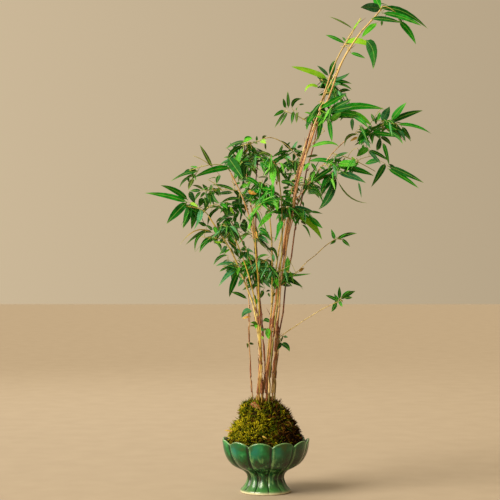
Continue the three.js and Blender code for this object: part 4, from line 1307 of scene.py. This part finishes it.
def bud(limb, place, facing, draw):
    """A pointed bud or a dry stub that leans out from a node."""
    controls = limbs[limb]["controls"]
    run = length_of(controls)
    t = evenly(controls, place / run)
    point, along = axis_at(limb, t)[0], slope(controls, t)[0]
    side = unit(np.cross(along, np.array([math.cos(facing), math.sin(facing), 0.0])))
    out = np.cross(side, along)
    length = draw.uniform(*bud_length) if draw.random() < 0.6 else draw.uniform(*stub_length)
    way = unit(out * draw.uniform(0.5, 1.0) + along)
    root = point + out * radius_at(limb, place, run) * 0.6
    places = np.array([0, 0.25, 0.5, 0.8, 1.0])
    centres = root + way * length * places[:, None] + UP * 0.1 * length * places[:, None] ** 2
    widest = bud_radius if length < stub_length[0] else stub_radius
    return tube(centres, widest * np.array([0.7, 1, 0.85, 0.45, 0.08]), twig_sides)


def make_sheaths(materials):
    """Sheaths at some of the nodes, more of them low down, and buds or dry stubs at others."""
    draw = np.random.default_rng(seed + 2)
    kinds = {"pale": [], "red": []}
    buds = []
    for name in canes:
        for place in limb_nodes[name][0]:
            facing = draw.uniform(0, 2 * math.pi)
            habit = low_sheaths if place < low_nodes else high_sheaths
            if draw.random() < habit["chance"]:
                kind = "red" if draw.random() < habit["red"] else "pale"
                height = draw.uniform(*habit["height"])
                kinds[kind].append(sheath(name, place, height, facing, draw.uniform(0.1, 0.9), draw))
            if draw.random() < bud_chance:
                buds.append(bud(name, place + 1.2, facing + 2.5, draw))
    for kind, parts in kinds.items():
        settle(make_piece(f"sheaths_{kind}", *join(parts), [materials[kind]]), "cane")
    settle(make_piece("buds", *join(buds), [materials["red"]]), "cane")


# Bowl
def smooth_step(value, low, high):
    part = np.clip((value - low) / (high - low), 0, 1)
    return part * part * (3 - 2 * part)


def spline(points, count):
    """A smooth line through points, evenly spaced, as the source draws its outline."""
    points = np.array(points, float)
    before = np.concatenate([points[:1], points, points[-1:]])
    segments = []
    for i in range(len(points) - 1):
        p0, p1, p2, p3 = before[i:i + 4]
        t = np.linspace(0, 1, 40, endpoint=i == len(points) - 2)[:, None]
        v0, v1 = (p2 - p0) / 2, (p3 - p1) / 2
        cubic = (2 * p1 - 2 * p2 + v0 + v1) * t ** 3 + (3 * p2 - 3 * p1 - 2 * v0 - v1) * t ** 2
        segments.append(cubic + v0 * t + p1)
    line = np.concatenate(segments)
    run = run_along(line)
    at = np.linspace(0, run[-1], count)
    return np.stack([np.interp(at, run, line[:, 0]), np.interp(at, run, line[:, 1])], 1)


outer_wall = [(foot_radius, 4.5), (35.5, 13.5), (waist_radius, waist_height), (38, 36.5),
              (56.5, 47.5), (68.5, 64), (rim_radius, rim_height - 2)]
inner_wall = [(rim_radius - wall, rim_height - 1), (68.5 - wall * 1.3, 66), (50, 50), (20, cavity_floor + 1)]


def arc(centre, radius, start, end, count):
    turns = np.radians(np.linspace(start, end, count))
    return np.stack([centre[0] + radius * np.cos(turns), centre[1] + radius * np.sin(turns)], 1)


def bowl_outline():
    """Half the bowl's section, from under its foot up the outside, over the lip and down the inside, with the
    numbers of the first row of the outside and of the rim."""
    under = np.array([(36.0, 0.0), (35.0, 1.2), (24.0, 2.0), (0.01, 2.2)])[::-1]
    foot_edge = arc((foot_radius - 1.6, 1.8), 1.6, -90, 0, 5)
    outer = spline(outer_wall, 64)
    lip = arc((rim_radius - wall / 2, rim_height - 1.7), wall / 2, 0, 180, 9)[1:-1]
    outline = np.concatenate([under, foot_edge, outer, lip, spline(inner_wall, 22), [(0.01, cavity_floor)]])
    first_outer = len(under) + len(foot_edge)
    return outline, first_outer, first_outer + len(outer) + len(lip) // 2


def make_bowl(material):
    outline, first_outer, rim_row = bowl_outline()
    part = np.linspace(0, 1, petal_steps, endpoint=False)
    crowded = part + 0.06 * np.sin(4 * math.pi * part) / 2
    petals = (np.arange(petal_count)[:, None] + crowded[None]).ravel()
    angles = first_groove + petals * 2 * math.pi / petal_count
    across = np.tile(crowded, petal_count)
    bulge = np.abs(np.sin(math.pi * across)) ** 0.7
    groove = (1 - bulge)[None]
    radius, height = outline[:, :1], outline[:, 1:]
    rows = np.arange(len(outline))[:, None]
    near_rim = smooth_step(height, inner_flute_foot, rim_height)
    outer_flute = foot_flute + (flute_depth - foot_flute) * smooth_step(height, *flute_start)
    flute = np.where(rows <= rim_row, outer_flute, flute_depth * near_rim)
    # Each petal's near edge overlaps the one before it: a raised ridge with a dark groove beside it
    outside = ((rows >= first_outer) & (rows <= rim_row)).astype(float)
    set_in = outside * (0.35 + 0.65 * smooth_step(height, *ridge_start))
    fade = set_in * (1 - 0.6 * smooth_step(height, *ridge_end))
    ridge = hump(across, *ridge_place)[None] * ridge_height
    cut = hump(across, *cut_place)[None] * groove_depth
    size = np.clip(radius / 60, 0.6, 1)
    swollen = belly_swell * bulge[None] * outside * smooth_step(height, *belly_start)
    belly = swollen * (1 - smooth_step(height, *belly_end))
    shaped = radius - flute * groove * (1 + 0.35 * outside) + (ridge - cut) * fade * size + belly
    shaped = np.where(radius < 1, radius, np.maximum(shaped, 0.01))
    lifted = height - rim_dip * groove * near_rim
    points = round_points(shaped, lifted, angles)
    piece = make_piece("bowl", points.reshape(-1, 3), round_faces(len(outline), len(angles)), [material])
    # The glaze is thin over the rim, the ridges and the foot's edge, and pools in the grooves
    everywhere = np.ones((1, len(angles)))
    at_foot = rows < first_outer + 8
    thin = np.maximum(hump(rows, rim_row, 3.4) * everywhere, 0.62 * ridge / ridge_height * fade)
    # The glaze was poured over the left side, so the left petals carry more teal and those on the right show
    # more of the brown body; the right petals' olive brown is also partly painted shade, on the side away
    # from the light
    middles = first_groove + (np.arange(petal_count) + 0.5) * 2 * math.pi / petal_count
    poured_and_lit = np.repeat(0.66 - 0.34 * np.cos(middles - math.radians(10)), petal_steps)[None]
    add_attributes(piece, {
        "thin": np.maximum(thin, hump(height, 2.0, 1.8) * at_foot),
        "pooled": np.clip(1.1 * hump(across, 0.95, 0.06)[None], 0, 1) * outside,
        "bare": hump(height, 1.2, 2.6) * at_foot * everywhere,
        # Olive brown on the right petals: partly the body showing through, partly painted shade
        "browned": (1.45 * (1 - poured_and_lit)) ** 2 * hump(height, 66, 19) * outside,
        "teal": hump(across, 0.27, 0.26)[None] * hump(height, 77, 11) * outside * poured_and_lit,
    })
    settle(piece, "glaze", "pot")


# Root ball
ball_outline = [(ball_radius, 74), (ball_radius, 86), (ball_radius - 2, 100), (ball_radius - 9, 115),
                (ball_radius - 18, 131), (ball_radius - 26, 145), (ball_radius - 38, 154), (0.5, ball_top)]


def wavy(points, scale, phase):
    """A smooth uneven value from -1 to 1 for each point, with no memory of any axis."""
    x, y, z = (points[..., i] / scale for i in range(3))
    value = np.sin(x + 1.7 * np.sin(y * 0.9 + phase)) * np.cos(y * 1.1 - 1.3 * np.sin(z + phase * 2))
    return value + 0.5 * np.sin(2.3 * z + 1.9 * np.sin(1.7 * x - phase)) * np.cos(2.1 * y + phase)


def ball_point(outline, angles):
    """The ball's surface at rows of its outline and compass angles, with the source's lumps and lean
    and a dent in its left shoulder."""
    radius, height = outline[:, :1], outline[:, 1:]
    above = smooth_step(height, 80, 105)
    wave = np.sin(3 * angles + height / 9) + np.sin(7 * angles - height / 6)
    shaped = radius + 0.5 * lump * above * wave * np.minimum(1, radius / 20)
    turn = (angles - dent_turn + math.pi) % (2 * math.pi) - math.pi
    shaped = shaped - dent * hump(turn, 0, 0.6) * hump(height, dent_height, 15)
    lean = ball_lean * (height - 80) / (ball_top - 80) * above
    return round_points(shaped, height, angles, lean)


def make_ball(material):
    seat = spline(inner_wall, 24)
    seat = seat[seat[:, 0] < ball_radius - 1] + np.array([-seat_gap, seat_gap])
    foot = np.array([(0.01, cavity_floor + seat_gap)])
    outline = np.concatenate([foot, seat[::-1], spline(ball_outline, 70)])
    points = ball_point(outline, np.linspace(0, 2 * math.pi, ball_columns, endpoint=False)[None])
    away = unit(points - np.array([0, 0, ball_middle]))
    relief = wavy(points, 8.0, 0.4) * 1.8 + wavy(points, 2.6, 2.2) * 0.8 + wavy(points, 1.3, 4.1) * 0.35
    shown = smooth_step(outline[:, 1:], 76, 86)
    points = points + away * (relief * shown - 4.2 * shown)[..., None]
    faces = round_faces(*points.shape[:2])
    piece = make_piece("root_ball_moss", points.reshape(-1, 3), faces, [material])
    settle(piece, "moss", "root_ball")


def make_moss_shoots(materials):
    """Short curved moss shoots all over the ball, coloured by patches and by painted light and shade from
    left to right.
    """
    draw = np.random.default_rng(seed + 3)
    line = spline(ball_outline, 200)
    area = np.cumsum(line[:, 0] + 2)
    at = np.interp(draw.random(moss_count) * area[-1], area, np.arange(len(line)))
    root = ball_point(line[np.round(at).astype(int)], draw.uniform(0, 2 * math.pi, (moss_count, 1)))[:, 0]
    out = unit(root - np.array([ball_lean * 0.5, 0, ball_middle + 1]))
    root = root + out * (wavy(root, 8.0, 0.4) * 1.8 - 4.0)[:, None]
    clump = np.stack([wavy(root, 4.5, phase) for phase in (1.0, 3.0, 5.0)], -1)
    way = unit(out * 0.55 + clump * 1.1 + draw.normal(0, 0.4, (moss_count, 3)))
    length = moss_length * draw.uniform(0.5, 1.3, moss_count) * (1 + 0.3 * wavy(root, 5.0, 0.2))
    bend = draw.normal(0, 0.6, (moss_count, 3))
    middle = root + way * (length * 0.55)[:, None]
    tip = middle + unit(way + bend) * (length * 0.5)[:, None]
    root = root - out * 1.6
    side = unit(np.cross(way, draw.normal(0, 1, (moss_count, 3))))
    over = np.cross(way, side)
    half = moss_width / 2 * draw.uniform(0.7, 1.3, (moss_count, 1))
    rings = []
    for centre, point_out, flat_back, flat_wide in ((root, 1, 0.5, 0.8), (middle, 0.8, 0.4, 0.6)):
        back, aside = centre - side * half * flat_back, over * half * flat_wide
        rings += [centre + side * half * point_out, back + aside, back - aside]
    points = np.stack(rings + [tip], 1)
    one = [[0, 1, 4, 3], [1, 2, 5, 4], [2, 0, 3, 5], [3, 4, 6], [4, 5, 6], [5, 3, 6], [2, 1, 0]]
    shade = 0.8 * wavy(root, 13.0, 0.7) + 0.7 * wavy(root, 4.0, 2.0) + draw.normal(0, 0.65, moss_count)
    # Painted light and shade: the shoots are coloured greener and brighter on the left, where the light comes
    # from, and browner and darker on the right
    painted_light_shift = -np.clip(root[:, 0], -60, 42) / 36 - root[:, 1] * 0.2 / 34 - 0.25
    kind = np.digitize(shade + painted_light_shift, moss_limits)
    faces = repeated(one, points.shape[1], moss_count)
    piece = make_piece("moss_shoots", points.reshape(-1, 3), faces, materials, np.repeat(kind, len(one)))
    settle(piece, "moss")


# Materials
def linear(colour):
    """An sRGB hex value as linear red, green, blue and alpha."""
    values = [int(colour[i:i + 2], 16) / 255 for i in (1, 3, 5)]
    return [v / 12.92 if v <= 0.04045 else ((v + 0.055) / 1.055) ** 2.4 for v in values] + [1.0]


def add(tree, kind, settings=None, links=None, out=0):
    """Adds a node and gives one of its outputs. Settings go to its colour stops, its own properties or its
    sockets, and links run into its sockets."""
    made = tree.nodes.new("ShaderNode" + kind)
    for key, value in (settings or {}).items():
        if key == "stops":
            elements = made.color_ramp.elements
            while len(elements) < len(value):
                elements.new(0.5)
            for element, (position, colour) in zip(elements, value):
                element.position = position
                element.color = linear(colour)
        elif isinstance(key, str) and hasattr(made, key):
            setattr(made, key, value)
        else:
            made.inputs[key].default_value = value
    for key, source in (links or {}).items():
        tree.links.new(source, made.inputs[key])
    return made.outputs[out] if made.outputs else None


def apart(spacing):
    """The scale of a pattern whose marks are so many millimetres apart."""
    return 1 / (spacing * MM)


def new_material(name):
    """An empty material, its nodes and the place of a point on the piece."""
    material = bpy.data.materials.new(name)
    material.use_nodes = True
    tree = material.node_tree
    tree.nodes.clear()
    return material, tree, add(tree, "TexCoord", out="Object")


def layered(tree, colour, layers):
    """Lays colours over a first one, each as far as its own amount says."""
    for amount, over in layers:
        colour = add(tree, "Mix", {"data_type": "RGBA", 7: linear(over)}, {0: amount, 6: colour}, out=2)
    return colour


def finish(material, settings, colour, roughness=None, normal=None):
    """Gives a material its surface. roughness is a number or an output."""
    tree = material.node_tree
    links = {"Base Color": colour, "Roughness": roughness, "Normal": normal}
    if isinstance(roughness, float):
        settings["Roughness"] = links.pop("Roughness")
    linked = {key: source for key, source in links.items() if source is not None}
    add(tree, "OutputMaterial", links={"Surface": add(tree, "BsdfPrincipled", settings, linked)})
    return material


def glazed_stoneware():
    # Poured green glaze on pale stoneware: glassy, teal where it is thick, pale and creamy where it runs thin
    # over ridges and lips, olive brown where the body shows through. The olive brown on the right petals is
    # partly painted shade.
    material, tree, place = new_material("glazed_stoneware_green")
    height = add(tree, "SeparateXYZ", links={"Vector": place}, out="Z")
    thin, pooled, bare, browned, teal = (
        add(tree, "Attribute", {"attribute_name": name}, out="Fac")
        for name in ("thin", "pooled", "bare", "browned", "teal")
    )
    patches = add(tree, "TexNoise", {"Scale": apart(21), "Detail": 2.0}, {"Vector": place})
    upper_stops = [(0.32, "#2c4a12"), (0.44, "#084e1a"), (0.54, "#0a682c"), (0.66, "#348a4a")]
    upper = add(tree, "ValToRGB", {"stops": upper_stops}, {"Fac": patches})
    streaks = add(tree, "Mapping", {"Scale": (1.0, 1.0, 0.35)}, {"Vector": place})
    runs = add(tree, "TexNoise", {"Scale": apart(8), "Detail": 3.0}, {"Vector": streaks})
    # The lower look darkens towards the bottom: partly thinner glaze, partly painted shade, and its pale
    # green streaks are partly painted reflected light
    lower_stops = [(0.34, "#1e1c0a"), (0.45, "#1a3e0f"), (0.54, "#064a26"), (0.66, "#6c9654")]
    lower = add(tree, "ValToRGB", {"stops": lower_stops}, {"Fac": runs})
    fade_down = {"From Min": upper_glaze * MM, "From Max": lower_glaze * MM}
    low = add(tree, "MapRange", fade_down, {"Value": height})
    body = add(tree, "Mix", {"data_type": "RGBA"}, {0: low, 6: upper, 7: lower}, out=2)
    # The lighter green of the foot is partly the glaze's own colour and partly a painted highlight
    to_foot = {"From Min": foot_glaze * MM, "From Max": foot_edge_glaze * MM, "To Max": 0.6}
    foot = add(tree, "MapRange", to_foot, {"Value": height})
    spots = add(tree, "MapRange", {"From Min": 0.3, "From Max": 0.5}, {"Value": patches})
    glow = add(tree, "Math", {"operation": "MULTIPLY"}, {0: teal, 1: spots})
    speckle = add(tree, "TexNoise", {"Scale": apart(1.6), "Detail": 1.0}, {"Vector": place})
    breaks = add(tree, "Math", {"operation": "MULTIPLY_ADD", 1: 0.7, 2: -0.12}, {0: speckle})
    edge = add(tree, "Math", {"operation": "ADD", "use_clamp": True}, {0: thin, 1: breaks})
    worn = add(tree, "MapRange", {"From Min": 0.45, "From Max": 1.2, "To Max": 0.9}, {"Value": edge})
    # The olive brown layer on the right petals is partly painted shade
    colour = layered(tree, body, [
        (foot, "#46823e"), (glow, "#006a58"), (browned, "#1e200a"),
        (pooled, "#041c10"), (worn, "#86a86c"), (bare, "#d8cfa8"),
    ])
    waves = add(tree, "TexNoise", {"Scale": apart(8), "Detail": 2.0}, {"Vector": place})
    bump = add(tree, "Bump", {"Strength": 0.18, "Distance": 0.0008}, {"Height": waves})
    rough = add(tree, "MapRange", {"To Min": 0.14, "To Max": 0.28}, {"Value": speckle})
    return finish(material, {"IOR": 1.48, "Coat Weight": 0.12, "Coat Roughness": 0.2}, colour, rough, bump)


def culm(name, skin, bloom, stain):
    # Bare bamboo culm: a hard waxy skin with fine fibres along it, a pale bloom under each node and a
    # darker scar at the node, so it has a soft sheen in long streaks. A fibre is about 0.45 mm across and
    # 20 mm long.
    material, tree, place = new_material(f"bamboo_culm_{name}")
    height = add(tree, "SeparateXYZ", links={"Vector": place}, out="Z")
    unrolled = add(tree, "UVMap", {"uv_map": "UVMap"})
    fibres = add(tree, "Mapping", {"Scale": (2.2, 0.05, 1.0)}, {"Vector": unrolled})
    streak = add(tree, "TexNoise", {"Scale": 1.0, "Detail": 3.0}, {"Vector": fibres})
    patches = add(tree, "TexNoise", {"Scale": apart(55), "Detail": 3.0}, {"Vector": place})
    blend = add(tree, "Math", {"operation": "MULTIPLY_ADD", 1: 0.45}, {0: streak, 2: patches})
    bare = add(tree, "ValToRGB", {"stops": list(zip((0.52, 0.7, 0.88), skin))}, {"Fac": blend})
    under_node, near_node = (
        add(tree, "Attribute", {"attribute_name": mark}, out="Fac") for mark in ("bloom", "near_node")
    )
    haze = add(tree, "Math", {"operation": "MULTIPLY", 1: 0.3}, {0: under_node})
    to_foot = {"From Min": stain_top * MM, "From Max": stain_full * MM, "To Max": 1.6}
    old = add(tree, "MapRange", to_foot, {"Value": height})
    aged = add(tree, "Math", {"operation": "MULTIPLY"}, {0: old, 1: patches})
    to_tip = {"From Min": young_foot * MM, "From Max": young_full * MM, "To Max": 0.75}
    young = add(tree, "MapRange", to_tip, {"Value": height})
    scar = add(tree, "Math", {"operation": "MULTIPLY", 1: 0.55}, {0: near_node})
    colour = layered(tree, bare, [(haze, bloom), (aged, stain), (young, "#c8b060"), (scar, "#5a2c12")])
    bump = add(tree, "Bump", {"Strength": 0.35, "Distance": 0.0003}, {"Height": streak})
    rough = add(tree, "MapRange", {"To Min": 0.34, "To Max": 0.6}, {"Value": streak})
    return finish(material, {"IOR": 1.48}, colour, rough, bump)


def papery_sheath(name, dark, light):
    # Dry culm sheath: thin, matt and papery, with close ribs and paler margins
    material, tree, place = new_material(f"papery_sheath_{name}")
    along = add(tree, "Mapping", {"Scale": (1.0, 1.0, 0.12)}, {"Vector": place})
    ribs = add(tree, "TexNoise", {"Scale": apart(0.9), "Detail": 3.0}, {"Vector": along})
    colour = add(tree, "ValToRGB", {"stops": [(0.35, dark), (0.62, light)]}, {"Fac": ribs})
    bump = add(tree, "Bump", {"Strength": 0.4, "Distance": 0.0003}, {"Height": ribs})
    return finish(material, {"Sheen Weight": 0.15}, colour, 0.75, bump)


def leaf_skin(name, dark, light, roughness):
    # Bamboo leaf: thin and tough, satin on top and paler and duller underneath, with a pale midrib and fine
    # veins that run from foot to tip. The veins are drawn about four times as far apart as real ones, so
    # that they show.
    material, tree, place = new_material(f"bamboo_leaf_{name}")
    unrolled = add(tree, "UVMap", {"uv_map": "UVMap"})
    across = add(tree, "SeparateXYZ", links={"Vector": unrolled}, out="X")
    wave = add(tree, "Math", {"operation": "MULTIPLY", 1: 2 * math.pi / vein_spacing}, {0: across})
    veins = add(tree, "Math", {"operation": "SINE"}, {0: wave})
    patches = add(tree, "TexNoise", {"Scale": apart(11), "Detail": 3.0}, {"Vector": place})
    skin = add(tree, "ValToRGB", {"stops": [(0.32, dark), (0.7, light)]}, {"Fac": patches})
    aside = add(tree, "Math", {"operation": "ABSOLUTE"}, {0: across})
    rib = add(tree, "MapRange", {"From Min": 0.7, "From Max": 0.2, "To Max": 0.5}, {"Value": aside})
    bump = add(tree, "Bump", {"Strength": 0.3, "Distance": 0.0001}, {"Height": veins})
    rough = add(tree, "MapRange", {"To Min": roughness - 0.06, "To Max": roughness + 0.1}, {"Value": patches})
    colour = layered(tree, skin, [(rib, "#8cb04c")])
    return finish(material, {"IOR": 1.45, "Specular IOR Level": 0.16}, colour, rough, bump)


def moss(name, dark, light):
    # Cushion moss: soft and matt, with hardly any shine, and speckled from shoot to shoot
    material, tree, place = new_material(f"cushion_moss_{name}")
    grain = add(tree, "TexNoise", {"Scale": apart(2.2), "Detail": 3.0}, {"Vector": place})
    colour = add(tree, "ValToRGB", {"stops": [(0.35, dark), (0.65, light)]}, {"Fac": grain})
    bump = add(tree, "Bump", {"Strength": 0.5, "Distance": 0.0006}, {"Height": grain})
    return finish(material, {"Specular IOR Level": 0.05}, colour, 0.95, bump)


# Each culm's dark, middle and light skin, its bloom and its stain near the foot
culm_colours = {
    "straw": (("#8c7028", "#c6aa50", "#dcc882"), "#e6d8a0", "#a06c36"),
    "gold": (("#6e621a", "#b0942c", "#ccb858"), "#dccd88", "#8e6a2a"),
    "orange": (("#824a1e", "#b87c40", "#d2a86e"), "#e4c490", "#96542a"),
    "brown": (("#421a08", "#7a401a", "#a8703a"), "#c09660", "#86782e"),
    "tan": (("#7c5424", "#b4864a", "#d0ae78"), "#e0c898", "#8c6632"),
    "red_brown": (("#300e08", "#5c2210", "#8a4a28"), "#ac744c", "#6a3020"),
    "olive": (("#4a4e18", "#7c7c2a", "#ac9e4c"), "#c8bc78", "#5a5018"),
}
# Each leaf tone's dark and light colour, on top and underneath, in the order of the tones. The deep tone is
# partly painted shade, the bright one partly painted light, and the grey one partly paler leaves and partly a
# painted sheen.
leaf_colours = {
    "deep": (("#003c02", "#0c6406"), ("#0e5410", "#1c6e1a")),
    "mid": (("#066204", "#1a8a0a"), ("#187412", "#2c901c")),
    "bright": (("#2c880c", "#50a614"), ("#489a26", "#60ac34")),
    "lime": (("#62a60a", "#92c41e"), ("#70aa24", "#90c038")),
    "grey": (("#1c6034", "#3c8850"), ("#2e7846", "#4e9662")),
    "olive": (("#263c06", "#445a0e"), ("#40561a", "#566a26")),
    "dry": (("#8a5c1e", "#c08c3c"), ("#a07a3e", "#c8a468")),
    "husk": (("#5c2c0e", "#96562a"), ("#7a4a24", "#a87440")),
}
# The moss shoots' dark and light colours, from brown to yellow green, and the limits between their shades,
# which the painted light and shade moves towards yellow green on the left and brown on the right
moss_colours = [
    ("#160c05", "#301c0c"), ("#46280a", "#745018"), ("#2e3c04", "#4e5c08"), ("#625e06", "#888410"),
    ("#968c10", "#bcae20"),
]
moss_limits = [-1.3, -0.35, 0.55, 1.5]


# Stage
def pale_floor():
    # Plain painted board, matt
    material, tree, place = new_material("pale_floor")
    grain = add(tree, "TexNoise", {"Scale": apart(60), "Detail": 3.0}, {"Vector": place})
    colour = add(tree, "ValToRGB", {"stops": [(0.3, "#a8987f"), (0.7, "#ad9d84")]}, {"Fac": grain})
    return finish(material, {}, colour, 0.8)


def make_floor():
    square = ((-1, -1), (1, -1), (1, 1), (-1, 1))
    corners = [(x * floor_reach, y * floor_reach, floor_level) for x, y in square]
    make_piece("floor", corners, [[0, 1, 2, 3]], [pale_floor()])


def make_world():
    """A pale studio that is brighter on the left, where its window is, and dim on the right."""
    world = bpy.data.worlds.new("pale_studio")
    world.use_nodes = True
    tree = world.node_tree
    sideways = add(tree, "SeparateXYZ", links={"Vector": add(tree, "TexCoord", out="Generated")}, out="X")
    strength = add(tree, "MapRange", {"From Min": -1.0, "To Min": 1.05, "To Max": 0.18}, {"Value": sideways})
    background = tree.nodes["Background"]
    background.inputs["Color"].default_value = linear("#f0d9b4")
    tree.links.new(strength, background.inputs["Strength"])
    bpy.context.scene.world = world
    bpy.context.scene.view_settings.view_transform = "Standard"


def place_in_scene(name, data, position, turn):
    made = bpy.data.objects.new(name, data)
    made.location = position
    made.rotation_euler = turn
    bpy.context.scene.collection.objects.link(made)
    return made


def make_camera():
    data = bpy.data.cameras.new("photo_view")
    data.sensor_width = 36
    data.lens = data.sensor_width * camera_distance / (2 * image_middle * pixel_size)
    data.clip_end = 40
    position = (camera_x * MM, -camera_distance * MM, camera_height * MM)
    bpy.context.scene.camera = place_in_scene("photo_view", data, position, (math.pi / 2, 0, 0))


def make_light(name, kind, position, target, power, colour, **form):
    """A soft light that shines from a position, in metres, towards a target."""
    data = bpy.data.lights.new(name, kind)
    data.energy = power
    data.color = linear(colour)[:3]
    for key, value in form.items():
        setattr(data, key, value)
    way = Vector(target) - Vector(position)
    place_in_scene(name, data, position, way.to_track_quat("-Z", "Y").to_euler())


def make_lights():
    make_light("key", "SUN", key_light, (0, 0, 0), 4.4, "#fff6ea", angle=math.radians(40))
    window = {"shape": "RECTANGLE", "size": 0.6, "size_y": 1.4}
    make_light("window", "AREA", (-1.3, -1.4, 0.7), (0, 0, 0.1), 6, "#ffffff", **window)
    panel = {"shape": "RECTANGLE", "size": 1.2, "size_y": 1.2}
    make_light("back", "AREA", (-0.8, 1.8, 1.6), (0, 0, 0.4), 10, "#ffffff", **panel)


# Making
def make_limbs():
    for name, cane in canes.items():
        curve = cane_controls(cane["foot"], cane["tip"], cane["lean"])
        add_limb(name, curve, cane["girth"], cane_taper, cane.get("bow", (0, 0, 1)))
    for name, bough in boughs.items():
        curve = bough_controls(bough["limb"], bough["height"], bough["tip"], bough["bow"])
        add_limb(name, curve, bough["girth"], bough_taper)
    culm_skins = {name: culm(name, *colours) for name, colours in culm_colours.items()}
    for name in limbs:
        make_limb(name, culm_skins)


def make_foliage():
    grow_foliage()
    lay_fallen()
    make_twigs(culm("twig", ("#6c7420", "#a09a38", "#c8b868"), "#d0c070", "#94902e"))
    make_leaves({
        name: [leaf_skin(name, *top, 0.42), leaf_skin(f"{name}_under", *under, 0.58)]
        for name, (top, under) in leaf_colours.items()
    })


make_limbs()
make_sheaths({
    "pale": papery_sheath("pale", "#a8823e", "#dcc48c"),
    "red": papery_sheath("red", "#54260f", "#a4683a"),
})
make_foliage()
make_bowl(glazed_stoneware())
# The ball under the shoots is near-black brown: partly the brown of the moss beneath, partly painted shade in
# the gaps between the shoots
make_ball(moss("ground", "#161204", "#2c280a"))
make_moss_shoots([moss(str(i), *colours) for i, colours in enumerate(moss_colours)])
make_floor()
make_world()
make_camera()
make_lights()
